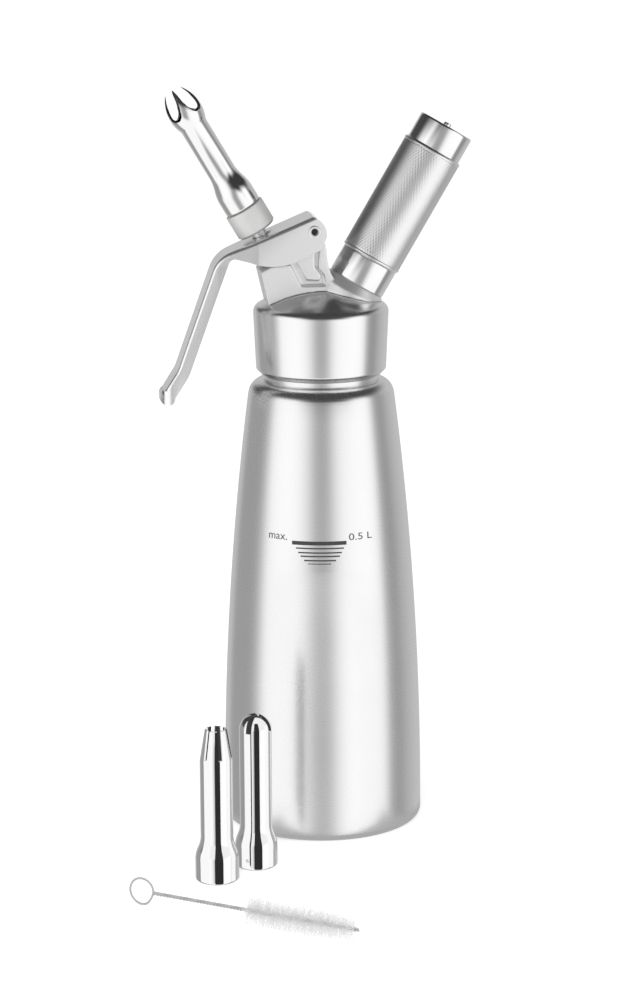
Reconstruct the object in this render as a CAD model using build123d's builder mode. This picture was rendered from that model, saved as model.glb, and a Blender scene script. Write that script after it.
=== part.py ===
from build123d import *
import os
from math import cos, radians, sin, sqrt

# A whipped cream dispenser: a pressed steel bottle, a screwed-on head with a sprung valve
# worked by a squeeze lever, a holder for a gas cartridge, and its accessories: two more nozzles
# and a cleaning brush that stand and lie beside it.
#
# Millimetres, +Z up. The origin is on the floor under the middle of the bottle. The lever and
# the nozzle lean towards -X, the cartridge holder leans towards +X.
#
# Screw threads are plain cylinders on their pitch lines.

# ---- fits that many pieces share ----
running_gap = 0.05          # radius of a bore over what slides, screws or turns in it
set_gap = 0.02              # radius of a bore over what is pressed or glued into it
face_gap = 0.05             # between flat faces of pieces that move apart

# ---- bottle ----
bottle_radius = 39.8
bottle_widest_height = 6.0
foot_corner_radius = 3.0
foot_recess_radius = 31.0
foot_recess_depth = 2.0
base_thickness = 1.2
inner_corner_radius = 4.0
bottle_wall = 1.0
shoulder_radius = 28.2
shoulder_rounding = 6.1
neck_radius = 22.6
neck_wall = 2.0
neck_length = 20.0          # from the shoulder up to the mouth
mouth_height = 200.0

# ---- head: a steel cap with a domed top ----
gasket_thickness = 2.0
gasket_width = 3.8
skirt_gap = 2.0             # between the bottle's shoulder and the head
head_bottom_radius = 25.7
head_rim_radius = 26.8
head_chamfer = 2.3
rim_rounding = 3.5
dome_rise = 16.6            # the dome's top above the bottle's mouth
dome_radius = 49.5
dome_wall = 2.5
head_room_radius = 20.0

# ---- valve, on a centre line that leans left ----
valve_tilt = -30.7
valve_foot_drop = 2.6       # where the leaning line meets the bottle's axis, below the mouth
seat_start = 16.7           # along the leaning line
seat_length = 8.4
seat_radius = 6.5
seat_bore_radius = 3.9
stem_radius = 2.9
stem_disc_radius = 4.0
stem_disc_thickness = 1.7
stem_passage_radius = 1.4
stem_port_radius = 1.1
seat_seal_radius = 4.9
seat_seal_thickness = 2.3
oring_radius = 4.8
oring_thickness = 2.8
stem_guide_length = 4.0
spot_face_radius = 5.6
spring_room = 10.1          # between the valve body's spot face and the spring cap
spring_coil_radius = 4.2
spring_wire_radius = 0.45
spring_turns = 4.5
spring_cap_radius = 5.2
spring_cap_thickness = 1.6

# ---- nozzle adapter, and the nozzle screwed on to it ----
adapter_start = 48.9        # along the leaning line
adapter_radius = 7.95
adapter_length = 10.2
adapter_chamfer = 0.9
adapter_thread_radius = 4.6
adapter_thread_length = 6.4
nozzle_washer_thickness = 1.2
nozzle_washer_bore = 1.6
nozzle_base_radius = 7.3
nozzle_base_length = 8.1
nozzle_taper_length = 6.5
nozzle_tube_radius = 5.45
nozzle_wall = 1.1
tulip_length = 52.9
tulip_tube_length = 37.5
tulip_bulge_radius = 6.8
tulip_bulge_height = 44.0
tulip_tip_radius = 3.5
claw_notch_height = 43.6
claw_notch_foot = 1.5       # half of the notch's width at its foot
claw_notch_middle = 3.9     # half-way up the claws
claw_notch_top = 2.3        # and at the tips

# ---- cartridge holder, on a centre line that leans right ----
charger_tilt = 30.45
charger_foot_drop = 6.4
boss_radius = 11.4
boss_end = 28.0             # along the leaning line
boss_skirt_radius = 13.8
boss_skirt_height = 3.7
connector_radius = 9.3
connector_length = 9.2
stud_radius = 5.0
stud_length = 11.5
gas_passage_radius = 1.5
neck_room_radius = 4.65
pin_flange_radius = 3.0
pin_flange_thickness = 1.8
pin_flange_step = 1.4       # of it that stands above the boss's end
piercing_pin_radius = 0.9
piercing_pin_length = 3.0
piercing_pin_bore = 0.35
charger_seal_thickness = 1.4
check_valve_radius = 3.5
check_valve_thickness = 2.5
cartridge_radius = 9.0
cartridge_length = 65.0
cartridge_neck_radius = 4.3
cartridge_neck_length = 7.2
cartridge_shoulder_length = 5.5
pierced_hole_radius = 1.25
pierced_hole_depth = 2.2
holder_tube_radius = 10.4
holder_ring_radius = 11.6
holder_ring_length = 10.9
sleeve_radius = 12.2
sleeve_length = 49.2
sleeve_chamfer = 0.6
end_cap_radius = 11.2
end_cap_length = 10.5
end_cap_thickness = 2.6
end_cap_rounding = 0.8
vent_plug_radius = 1.5
vent_plug_rise = 1.2
vent_plug_chamfer = 0.35

# ---- valve body: the casting on the dome that carries the valve and the lever ----
body_thickness = 18.0
body_foot_rise = 4.5        # its foot is sunk to here above the mouth, then cut by the dome
body_left_foot = -20.2
body_left_top = (-24.7, 24.0)       # x, and rise above the mouth
body_top_chamfer = (-20.5, 26.0)
body_top_end = (-13.0, 26.8)
body_right_waist = (1.2, 31.5)
body_right_bow = (2.0, 25.5)
body_right_hip = (4.6, 19.9)
body_right_foot = 9.0
post_radius = 3.3
pivot_x = -3.8
pivot_rise = 39.6           # above the mouth
pocket_depth = 2.5
pocket_pad_drop = 0.6
pocket_outline = (           # x, and rise above the mouth
    (-14.0, 28.6), (-12.2, 24.7), (-8.7, 17.9), (1.1, 18.0), (0.4, 22.2), (-2.0, 25.2), (-1.6, 33.0)
)
pad_outline = (
    (-11.6, 29.5), (-6.4, 20.4), (-1.6, 20.2), (-0.9, 22.2), (-3.5, 25.6), (-3.2, 33.0)
)

# ---- lever: a channel of sheet metal that straddles the valve body ----
lever_sheet = 1.5
lever_side_gap = 0.25
arm_slope = 22.6            # degrees below level, away from the pivot
arm_height = 5.45           # from the pivot to the arm's outer face, square to it
arm_length = 38.5
handle_lean = 19.9          # degrees from upright
handle_length = 47.1
handle_depth = 4.8
tip_lean = 33.0
tip_length = 9.6
tip_bulge = 4.6             # how far the rounded tip reaches past its two corners
lever_bend_radius = 13.0
tip_bend_radius = 14.0
knee_depth = 2.0            # of the arm where its lower edge meets the handle
knee_radius = 2.5
arm_edge_low = (-16.6, -13.3)       # the arm's lower edge, from the pivot
arm_edge_left = (-25.2, -11.6)
arm_edge_right = (-7.9, -12.0)
arm_edge_end = (2.6, -7.1)
arm_end_front = (4.7, -2.5)
arm_end_top = (3.4, 3.0)
arm_taper_start = 22.0      # from the pivot, towards the handle
arm_overhang = 1.5          # of the back, beyond the pivot's foot
handle_width = 15.8
tip_width = 14.4
tip_corner_radius = 5.0
lever_edge_radius = 1.5
stem_slot_radius = 4.0
stem_slot_shift = 0.5
lever_pin_radius = 1.9
pin_head_radius = 2.35
pin_head_thickness = 0.7
pin_end_length = 0.5
clip_radius = 3.3
clip_thickness = 0.6

# ---- nozzles that stand beside the bottle ----
spare_bore_length = 7.7
spare_wall = 1.0
cone_place = (-51.3, -73.9)
cone_turn = 11.0
cone_base_radius = 8.4
cone_base_height = 10.5
cone_taper_height = 5.0
cone_tube_radius = 6.25
cone_height = 60.0
cone_tip_radius = 4.2
cone_tip_length = 12.4
cone_slot_width = 1.5
cone_slot_depth = 11.2
cone_slot_pairs = 3
dome_place = (-34.6, -60.2)
dome_turn = -31.5
dome_base_radius = 8.2
dome_base_height = 10.0
dome_taper_height = 5.0
dome_tube_radius = 6.25
dome_nozzle_height = 61.0
dome_slot_width = 2.2
dome_slot_depth = 6.5
dome_slot_pairs = 2
rinse_hole_radius = 0.7
rinse_hole_height = 4.0

# ---- cleaning brush that lies on the floor ----
brush_place = (-82.2, -98.0)        # the middle of its ring
brush_turn = -34.8
brush_ring_radius = 5.5     # outer, also the height of the brush's axis
brush_wire_radius = 0.75
brush_stem_radius = 0.8
brush_reach = 90.2          # from the ring's middle to the tip
bristle_start = 44.2
bristle_length = 44.8
bristle_radius = 5.4
bristle_tip_radius = 4.4
bristle_rounding = 1.2

os.makedirs("parts", exist_ok=True)


def leaning_line(foot_height, tilt):
    """Plane whose z runs along a centre line that leans by tilt from the bottle's axis."""
    lean = radians(tilt)
    return Plane(
        origin=(0, 0, foot_height), x_dir=(cos(lean), 0, -sin(lean)), z_dir=(sin(lean), 0, cos(lean))
    )


def standing_line(place, turn):
    """Plane whose z runs up from a place on the floor."""
    return Plane(origin=(*place, 0), x_dir=(cos(radians(turn)), sin(radians(turn)), 0), z_dir=(0, 0, 1))


def section_of(line, turn=0):
    """Plane through a centre line: its x runs out from the line and its y along it."""
    side = line.x_dir.rotate(Axis((0, 0, 0), line.z_dir), turn)
    return Plane(origin=line.origin, x_dir=side, z_dir=side.cross(line.z_dir))


def axis_of(line):
    """The centre line itself."""
    return Axis(line.origin, line.z_dir)


def turned(line, *outline):
    """A solid turned about a centre line from points (radius, height along the line)."""
    with BuildPart() as piece:
        with BuildSketch(section_of(line)):
            with BuildLine():
                Polyline(*outline, close=True)
            make_face()
        revolve(axis=axis_of(line))
    return piece


def turned_ring(line, bottom, top, inner, outer):
    """A flat ring about a centre line."""
    return turned(line, (inner, bottom), (outer, bottom), (outer, top), (inner, top))


valve_line = leaning_line(mouth_height - valve_foot_drop, valve_tilt)
charger_line = leaning_line(mouth_height - charger_foot_drop, charger_tilt)

# ======== bottle ========
shoulder_height = mouth_height - neck_length
inner_floor = foot_recess_depth + base_thickness
neck_bore_radius = neck_radius - neck_wall


def bottle_side(radius, corner_start, corner_radius, side_start, shoulder):
    """Draw the bottle's side: rounded corner, long bowed wall, shoulder, neck's foot."""
    RadiusArc(corner_start, (radius, corner_start[1] + corner_radius), -corner_radius)
    if side_start > corner_start[1] + corner_radius:
        Line((radius, corner_start[1] + corner_radius), (radius, side_start))
    TangentArc((radius, side_start), shoulder, tangent=(0, 1))


with BuildPart() as bottle:
    outer_shoulder = (shoulder_radius, shoulder_height)
    outer_corner = (bottle_radius - foot_corner_radius, 0)
    with BuildSketch(Plane.XZ) as outer_section:
        with BuildLine():
            Polyline(
                (0, mouth_height),
                (0, foot_recess_depth),
                (foot_recess_radius, foot_recess_depth),
                (foot_recess_radius + foot_recess_depth, 0),
                outer_corner,
            )
            bottle_side(
                bottle_radius, outer_corner, foot_corner_radius, bottle_widest_height, outer_shoulder
            )
            Polyline(
                outer_shoulder,
                (neck_radius, shoulder_height),
                (neck_radius, mouth_height),
                (0, mouth_height),
            )
        make_face()
        fillet(outer_section.vertices().sort_by_distance(outer_shoulder)[0], shoulder_rounding)
    revolve(axis=Axis.Z)

    inner_shoulder = (shoulder_radius - bottle_wall, shoulder_height - bottle_wall)
    inner_corner = (bottle_radius - bottle_wall - inner_corner_radius, inner_floor)
    with BuildSketch(Plane.XZ) as inner_section:
        with BuildLine():
            Polyline((0, mouth_height), (0, inner_floor), inner_corner)
            bottle_side(
                bottle_radius - bottle_wall,
                inner_corner,
                inner_corner_radius,
                inner_floor + inner_corner_radius,
                inner_shoulder,
            )
            Polyline(
                inner_shoulder,
                (neck_bore_radius, inner_shoulder[1]),
                (neck_bore_radius, mouth_height),
                (0, mouth_height),
            )
        make_face()
        inner_shoulder_corner = inner_section.vertices().sort_by_distance(inner_shoulder)[0]
        fillet(inner_shoulder_corner, shoulder_rounding - bottle_wall)
    revolve(axis=Axis.Z, mode=Mode.SUBTRACT)
bottle.part.label = "bottle"
export_step(bottle.part, "parts/bottle.step")

# ======== head ========
head_shelf = mouth_height + gasket_thickness
head_bottom = shoulder_height + skirt_gap
head_bore_radius = neck_radius + running_gap
dome_centre = mouth_height + dome_rise - dome_radius
stud_start = boss_end - stud_length
seat_end = seat_start + seat_length
seat_seal_start = seat_start - face_gap - seat_seal_thickness
stem_disc_start = seat_seal_start - stem_disc_thickness


def on_dome(radius, sphere_radius):
    """A point on the dome's outer or inner face, at a distance from the bottle's axis."""
    return (radius, dome_centre + sqrt(sphere_radius ** 2 - radius ** 2))


inner_dome_radius = dome_radius - dome_wall
head_gasket = turned_ring(
    Plane.XY, mouth_height, head_shelf, neck_radius - gasket_width, neck_radius - running_gap
)
head_gasket.part.label = "head_gasket"
export_step(head_gasket.part, "parts/head_gasket.step")

with BuildPart() as head_cap:
    with BuildSketch(Plane.XZ) as head_section:
        with BuildLine():
            Polyline(
                (head_room_radius, head_shelf),
                (head_bore_radius, head_shelf),
                (head_bore_radius, head_bottom),
                (head_bottom_radius - head_chamfer, head_bottom),
                (head_bottom_radius, head_bottom + head_chamfer),
                on_dome(head_rim_radius, dome_radius),
            )
            ThreePointArc(
                on_dome(head_rim_radius, dome_radius),
                on_dome(head_rim_radius / 2, dome_radius),
                on_dome(0, dome_radius),
            )
            Line(on_dome(0, dome_radius), on_dome(0, inner_dome_radius))
            ThreePointArc(
                on_dome(0, inner_dome_radius),
                on_dome(head_room_radius / 2, inner_dome_radius),
                on_dome(head_room_radius, inner_dome_radius),
            )
            Line(on_dome(head_room_radius, inner_dome_radius), (head_room_radius, head_shelf))
        make_face()
        fillet(head_section.vertices().sort_by(Axis.X)[-1], rim_rounding)
    revolve(axis=Axis.Z)
    with BuildSketch(valve_line.offset(stem_disc_start)):
        Circle(seat_radius + set_gap)
    extrude(amount=seat_end - stem_disc_start, mode=Mode.SUBTRACT)
    with BuildSketch(charger_line.offset(stud_start)):
        Circle(stud_radius + set_gap)
    extrude(amount=stud_length, mode=Mode.SUBTRACT)
head_cap.part.label = "head_cap"
export_step(head_cap.part, "parts/head_cap.step")

# ======== valve body ========
gland_end = seat_end + oring_thickness + 2 * face_gap
spot_face = gland_end + stem_guide_length
pivot = (pivot_x, mouth_height + pivot_rise)


def above_mouth(point):
    """A point that is given as x and rise above the bottle's mouth."""
    return (point[0], mouth_height + point[1])


with BuildPart() as valve_body:
    post_left = (pivot_x - post_radius, pivot[1])
    post_right = (pivot_x + post_radius, pivot[1])
    with BuildSketch(Plane.XZ):
        with BuildLine():
            Polyline(
                above_mouth((body_right_foot, body_foot_rise)),
                above_mouth((body_left_foot, body_foot_rise)),
                above_mouth(body_left_top),
                above_mouth(body_top_chamfer),
                above_mouth(body_top_end),
                post_left,
            )
            RadiusArc(post_left, post_right, post_radius)
            Line(post_right, above_mouth(body_right_waist))
            ThreePointArc(
                above_mouth(body_right_waist), above_mouth(body_right_bow), above_mouth(body_right_hip)
            )
            Line(above_mouth(body_right_hip), above_mouth((body_right_foot, body_foot_rise)))
        make_face()
    extrude(amount=body_thickness / 2, both=True)
    with BuildSketch(section_of(charger_line)):
        with BuildLine():
            Polyline(
                (0, stud_start),
                (boss_skirt_radius, stud_start),
                (boss_skirt_radius, boss_end - boss_skirt_height),
                (boss_radius, boss_end),
                (0, boss_end),
                close=True,
            )
        make_face()
    revolve(axis=axis_of(charger_line))
    with Locations((0, 0, dome_centre)):
        Sphere(dome_radius, mode=Mode.SUBTRACT)
    with BuildSketch(section_of(valve_line)):
        with BuildLine():
            Polyline(
                (0, seat_start),
                (seat_radius + set_gap, seat_start),
                (seat_radius + set_gap, seat_end),
                (oring_radius + set_gap, seat_end),
                (oring_radius + set_gap, gland_end),
                (stem_radius + running_gap, gland_end),
                (stem_radius + running_gap, spot_face),
                (spot_face_radius, spot_face),
                (spot_face_radius, spot_face + spring_room),
                (0, spot_face + spring_room),
                close=True,
            )
        make_face()
    revolve(axis=axis_of(valve_line), mode=Mode.SUBTRACT)
    with BuildSketch(charger_line.offset(stud_start)):
        Circle(stud_radius + set_gap)
    extrude(amount=stud_length, mode=Mode.SUBTRACT)
    for side in (1, -1):
        with BuildSketch(Plane.XZ.offset(side * body_thickness / 2)):
            with BuildLine():
                Polyline(*[above_mouth(point) for point in pocket_outline], close=True)
            make_face()
            with BuildLine():
                Polyline(*[above_mouth(point) for point in pad_outline], close=True)
            make_face(mode=Mode.SUBTRACT)
        extrude(amount=-side * pocket_depth, mode=Mode.SUBTRACT)
        with BuildSketch(Plane.XZ.offset(side * body_thickness / 2)):
            with BuildLine():
                Polyline(*[above_mouth(point) for point in pad_outline], close=True)
            make_face()
        extrude(amount=-side * pocket_pad_drop, mode=Mode.SUBTRACT)
    with BuildSketch(Plane.XZ):
        with Locations(pivot):
            Circle(lever_pin_radius + set_gap)
    extrude(amount=body_thickness, both=True, mode=Mode.SUBTRACT)
valve_body.part.label = "valve_body"
export_step(valve_body.part, "parts/valve_body.step")

# ======== valve ========
spring_cap_start = spot_face + spring_room
adapter_end = adapter_start + adapter_length
thread_end = adapter_end + adapter_thread_length

valve_seat = turned_ring(valve_line, seat_start, seat_end - face_gap, seat_bore_radius, seat_radius)
valve_seat.part.label = "valve_seat"
export_step(valve_seat.part, "parts/valve_seat.step")

seat_seal = turned_ring(
    valve_line, seat_seal_start, seat_start - face_gap, stem_radius + set_gap, seat_seal_radius
)
seat_seal.part.label = "seat_seal"
export_step(seat_seal.part, "parts/seat_seal.step")

oring_start = seat_end + face_gap
stem_oring = turned_ring(
    valve_line, oring_start, oring_start + oring_thickness, stem_radius + running_gap, oring_radius
)
stem_oring.part.label = "stem_oring"
export_step(stem_oring.part, "parts/stem_oring.step")

spring_cap_end = spring_cap_start + spring_cap_thickness
spring_cap = turned_ring(
    valve_line, spring_cap_start, spring_cap_end, stem_radius + set_gap, spring_cap_radius
)
spring_cap.part.label = "spring_cap"
export_step(spring_cap.part, "parts/spring_cap.step")

with BuildPart() as valve_stem:
    stem_end = thread_end - adapter_chamfer
    port_height = seat_start + seat_length / 2
    with BuildSketch(section_of(valve_line)):
        with BuildLine():
            Polyline(
                (0, stem_disc_start),
                (stem_disc_radius, stem_disc_start),
                (stem_disc_radius, seat_seal_start),
                (stem_radius, seat_seal_start),
                (stem_radius, stem_end),
                (stem_passage_radius, stem_end),
                (stem_passage_radius, port_height - stem_port_radius),
                (0, port_height - stem_port_radius),
                close=True,
            )
        make_face()
    revolve(axis=axis_of(valve_line))
    for turn in (0, 90):
        with BuildSketch(section_of(valve_line, turn)):
            with Locations((0, port_height)):
                Circle(stem_port_radius)
        extrude(amount=stem_radius + running_gap, both=True, mode=Mode.SUBTRACT)
valve_stem.part.label = "valve_stem"
export_step(valve_stem.part, "parts/valve_stem.step")

with BuildPart() as valve_spring:
    spring_length = spring_room - 2 * (spring_wire_radius + face_gap)
    spring_foot = valve_line.offset(spot_face + face_gap + spring_wire_radius)
    with BuildLine():
        coil = Helix(
            pitch=spring_length / spring_turns,
            height=spring_length,
            radius=spring_coil_radius,
            center=spring_foot.origin,
            direction=spring_foot.z_dir,
        )
    with BuildSketch(Plane(origin=coil @ 0, z_dir=coil % 0)):
        Circle(spring_wire_radius)
    sweep(is_frenet=True)
valve_spring.part.label = "valve_spring"
export_step(valve_spring.part, "parts/valve_spring.step")

# ======== nozzle adapter and nozzle ========
nozzle_adapter = turned(
    valve_line,
    (stem_radius + set_gap, adapter_start),
    (adapter_radius - adapter_chamfer, adapter_start),
    (adapter_radius, adapter_start + adapter_chamfer),
    (adapter_radius, adapter_end),
    (adapter_thread_radius, adapter_end),
    (adapter_thread_radius, thread_end - adapter_chamfer),
    (adapter_thread_radius - adapter_chamfer, thread_end),
    (stem_radius + set_gap, thread_end),
)
nozzle_adapter.part.label = "nozzle_adapter"
export_step(nozzle_adapter.part, "parts/nozzle_adapter.step")

nozzle_line = valve_line.offset(adapter_end + face_gap)
nozzle_thread_bore = adapter_thread_radius + running_gap
washer_start = adapter_thread_length
washer_end = washer_start + nozzle_washer_thickness
nozzle_washer = turned_ring(
    nozzle_line, washer_start, washer_end, nozzle_washer_bore, adapter_thread_radius - running_gap
)
nozzle_washer.part.label = "nozzle_washer"
export_step(nozzle_washer.part, "parts/nozzle_washer.step")


def draw_nozzle_foot(
    base_radius, base_length, taper_length, tube_radius, bore_length, wall, tube_start, tube_bore
):
    """Draw a nozzle's wall from the top of its bore, down round its threaded base and up its taper."""
    Polyline(
        tube_bore,
        (tube_radius - wall, bore_length),
        (nozzle_thread_bore, bore_length),
        (nozzle_thread_bore, 0),
        (base_radius, 0),
        (base_radius, base_length),
        (tube_radius, base_length + taper_length),
        tube_start,
    )


with BuildPart() as tulip_nozzle:
    tube_end = (nozzle_tube_radius, tulip_tube_length)
    bore_end = (nozzle_tube_radius - nozzle_wall, tulip_tube_length)
    tip_outside = (tulip_tip_radius, tulip_length)
    tip_inside = (tulip_tip_radius - nozzle_wall, tulip_length)
    claw_middle = (claw_notch_height + tulip_length) / 2
    with BuildSketch(section_of(nozzle_line)):
        with BuildLine():
            draw_nozzle_foot(
                nozzle_base_radius,
                nozzle_base_length,
                nozzle_taper_length,
                nozzle_tube_radius,
                washer_end + face_gap,
                nozzle_wall,
                tube_end,
                bore_end,
            )
            ThreePointArc(tube_end, (tulip_bulge_radius, tulip_bulge_height), tip_outside)
            Line(tip_outside, tip_inside)
            ThreePointArc(tip_inside, (tulip_bulge_radius - nozzle_wall, tulip_bulge_height), bore_end)
        make_face()
    revolve(axis=axis_of(nozzle_line))
    for turn in (45, 135):
        with BuildSketch(section_of(nozzle_line, turn)):
            with BuildLine():
                Polyline(
                    (-claw_notch_foot, claw_notch_height),
                    (claw_notch_foot, claw_notch_height),
                    (claw_notch_middle, claw_middle),
                    (claw_notch_top, tulip_length),
                    (claw_notch_top, tulip_length + nozzle_wall),
                    (-claw_notch_top, tulip_length + nozzle_wall),
                    (-claw_notch_top, tulip_length),
                    (-claw_notch_middle, claw_middle),
                    close=True,
                )
            make_face()
            with Locations((0, claw_notch_height)):
                Circle(claw_notch_foot)
        extrude(amount=tulip_bulge_radius + nozzle_wall, both=True, mode=Mode.SUBTRACT)
tulip_nozzle.part.label = "tulip_nozzle"
export_step(tulip_nozzle.part, "parts/tulip_nozzle.step")

# ======== lever ========
lever_half_width = body_thickness / 2 + lever_side_gap + lever_sheet
lever_pivot = Vector(*pivot)
arm_way = Vector(-cos(radians(arm_slope)), -sin(radians(arm_slope)))
handle_way = Vector(-sin(radians(handle_lean)), -cos(radians(handle_lean)))
tip_way = Vector(-sin(radians(tip_lean)), -cos(radians(tip_lean)))


def inward(way):
    """The direction square to a lever line, towards the bottle."""
    return Vector(-way.Y, way.X)


arm_foot = lever_pivot - inward(arm_way) * arm_height
bend_corner = arm_foot + arm_way * arm_length
tip_corner = bend_corner + handle_way * handle_length
tip_end = tip_corner + tip_way * tip_length
tip_reach = tip_end.X - lever_sheet      # past the lever's tip


def inset_corner(corner, first, second, first_inset, second_inset):
    """Where two lever lines cross when each is moved inward."""
    sine = first.X * second.Y - first.Y * second.X
    return corner + (second * first_inset - first * second_inset) / sine


def from_pivot(point):
    """A point that is given as its distances from the lever's pivot."""
    return lever_pivot + Vector(*point)


def back_points(inset):
    """The lever's back, from the pivot to the tip, moved inward by inset."""
    return [
        arm_foot - arm_way * arm_overhang + inward(arm_way) * inset,
        inset_corner(bend_corner, arm_way, handle_way, inset, inset),
        inset_corner(tip_corner, handle_way, tip_way, inset, inset),
        tip_end + inward(tip_way) * inset,
    ]


def lever_plan(inset):
    """Corners of the lever from above, moved inward by inset: it narrows from the arm to the tip."""
    arm = lever_half_width - inset
    handle = handle_width / 2 - inset
    tip = tip_width / 2 - inset
    arm_end = pivot_x + arm_height + lever_sheet
    taper_start = pivot_x - arm_taper_start
    return [
        (arm_end, arm),
        (arm_end, -arm),
        (taper_start, -arm),
        (bend_corner.X, -handle),
        (tip_reach, -tip),
        (tip_reach, tip),
        (bend_corner.X, handle),
        (taper_start, arm),
    ]


lever_room = mouth_height + 2 * pivot_rise      # a height above the whole lever
inner_tip = tip_end + inward(tip_way) * handle_depth
tip_nose = (tip_end + inner_tip) / 2 + tip_way * tip_bulge

with BuildPart() as lever_hollow:
    inner_back = back_points(lever_sheet)
    hollow_end = inner_back[-1] - tip_way * lever_sheet
    hollow_right = pivot_x + lever_room
    with BuildSketch(Plane.XZ):
        with BuildLine():
            FilletPolyline(
                inner_back[0],
                inner_back[1],
                inner_back[2],
                hollow_end,
                radius=(lever_bend_radius - lever_sheet, tip_bend_radius + lever_sheet),
            )
            Polyline(
                hollow_end,
                (hollow_right, hollow_end.Y),
                (hollow_right, lever_room),
                (inner_back[0].X, lever_room),
                inner_back[0],
            )
        make_face()
    extrude(amount=lever_half_width, both=True)
    with BuildSketch():
        with BuildLine():
            Polyline(*lever_plan(lever_sheet), close=True)
        make_face()
    extrude(amount=lever_room, mode=Mode.INTERSECT)

with BuildPart() as lever:
    back = back_points(0)
    with BuildSketch(Plane.XZ):
        with BuildLine():
            back_line = FilletPolyline(*back, radius=(lever_bend_radius, tip_bend_radius))
            ThreePointArc(tip_end, tip_nose, inner_tip)
            FilletPolyline(
                inner_tip,
                inset_corner(tip_corner, handle_way, tip_way, handle_depth, handle_depth),
                inset_corner(bend_corner, arm_way, handle_way, knee_depth, handle_depth),
                from_pivot(arm_edge_left),
                radius=(tip_bend_radius + handle_depth, knee_radius),
            )
            ThreePointArc(from_pivot(arm_edge_left), from_pivot(arm_edge_low), from_pivot(arm_edge_right))
            Polyline(from_pivot(arm_edge_right), from_pivot(arm_edge_end), from_pivot(arm_end_front))
            ThreePointArc(from_pivot(arm_end_front), from_pivot(arm_end_top), back[0])
        make_face()
    extrude(amount=lever_half_width, both=True)
    with BuildSketch() as outer_plan:
        with BuildLine():
            Polyline(*lever_plan(0), close=True)
        make_face()
        fillet(outer_plan.vertices().group_by(Axis.X)[0], tip_corner_radius)
    extrude(amount=lever_room, mode=Mode.INTERSECT)
    back_edges = []
    for edge in lever.edges():
        middle = edge.center()
        off_back = back_line.distance_to(Vertex(middle.X, middle.Z, 0))
        if abs(middle.Y) > tip_width / 4 and off_back < face_gap:
            back_edges.append(edge)
    fillet(back_edges, lever_edge_radius)
    add(lever_hollow.part, mode=Mode.SUBTRACT)
    with BuildSketch(valve_line.offset(spring_cap_start)):
        with Locations((stem_slot_shift, 0)):
            Circle(stem_slot_radius)
    extrude(amount=adapter_start - spring_cap_start, mode=Mode.SUBTRACT)
    with BuildSketch(Plane.XZ):
        with Locations(pivot):
            Circle(lever_pin_radius + running_gap)
    extrude(amount=lever_half_width, both=True, mode=Mode.SUBTRACT)
lever.part.label = "lever"
export_step(lever.part, "parts/lever.step")

with BuildPart() as lever_pin:
    pin_face = lever_half_width + face_gap
    with BuildSketch(Plane.XZ.offset(pin_face)):
        with Locations(pivot):
            Circle(lever_pin_radius)
    extrude(amount=-(2 * pin_face + clip_thickness + pin_end_length))
    with BuildSketch(Plane.XZ.offset(pin_face)):
        with Locations(pivot):
            Circle(pin_head_radius)
    extrude(amount=pin_head_thickness)
lever_pin.part.label = "lever_pin"
export_step(lever_pin.part, "parts/lever_pin.step")

with BuildPart() as pin_clip:
    with BuildSketch(Plane.XZ.offset(-pin_face)):
        with Locations(pivot):
            Circle(clip_radius)
            Circle(lever_pin_radius + set_gap, mode=Mode.SUBTRACT)
            with Locations((0, -clip_radius)):
                Rectangle(lever_pin_radius, 2 * clip_radius, mode=Mode.SUBTRACT)
    extrude(amount=-clip_thickness)
pin_clip.part.label = "pin_clip"
export_step(pin_clip.part, "parts/pin_clip.step")

# ======== cartridge connector ========
pin_flange_start = boss_end - pin_flange_thickness + pin_flange_step
pin_flange_end = boss_end + pin_flange_step
charger_seal_end = pin_flange_end + charger_seal_thickness
connector_end = boss_end + connector_length
check_valve_end = stud_start + check_valve_thickness

charger_connector = turned(
    charger_line,
    (check_valve_radius + set_gap, stud_start),
    (stud_radius, stud_start),
    (stud_radius, boss_end),
    (connector_radius, boss_end),
    (connector_radius, connector_end),
    (neck_room_radius, connector_end),
    (neck_room_radius, pin_flange_end),
    (pin_flange_radius + set_gap, pin_flange_end),
    (pin_flange_radius + set_gap, pin_flange_start),
    (gas_passage_radius, pin_flange_start),
    (gas_passage_radius, check_valve_end),
    (check_valve_radius + set_gap, check_valve_end),
)
charger_connector.part.label = "charger_connector"
export_step(charger_connector.part, "parts/charger_connector.step")

check_valve = turned_ring(
    charger_line, stud_start, check_valve_end, piercing_pin_bore, check_valve_radius
)
check_valve.part.label = "check_valve"
export_step(check_valve.part, "parts/check_valve.step")

needle_end = pin_flange_end + piercing_pin_length
piercing_pin = turned(
    charger_line,
    (piercing_pin_bore, pin_flange_start),
    (pin_flange_radius, pin_flange_start),
    (pin_flange_radius, pin_flange_end),
    (piercing_pin_radius, pin_flange_end),
    (piercing_pin_radius, needle_end - piercing_pin_radius),
    (piercing_pin_bore, needle_end),
)
piercing_pin.part.label = "piercing_pin"
export_step(piercing_pin.part, "parts/piercing_pin.step")

charger_seal = turned_ring(
    charger_line, pin_flange_end, charger_seal_end, pierced_hole_radius, neck_room_radius - running_gap
)
charger_seal.part.label = "charger_seal"
export_step(charger_seal.part, "parts/charger_seal.step")

# ======== gas cartridge and its holder ========
cartridge_line = charger_line.offset(charger_seal_end + face_gap)

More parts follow.
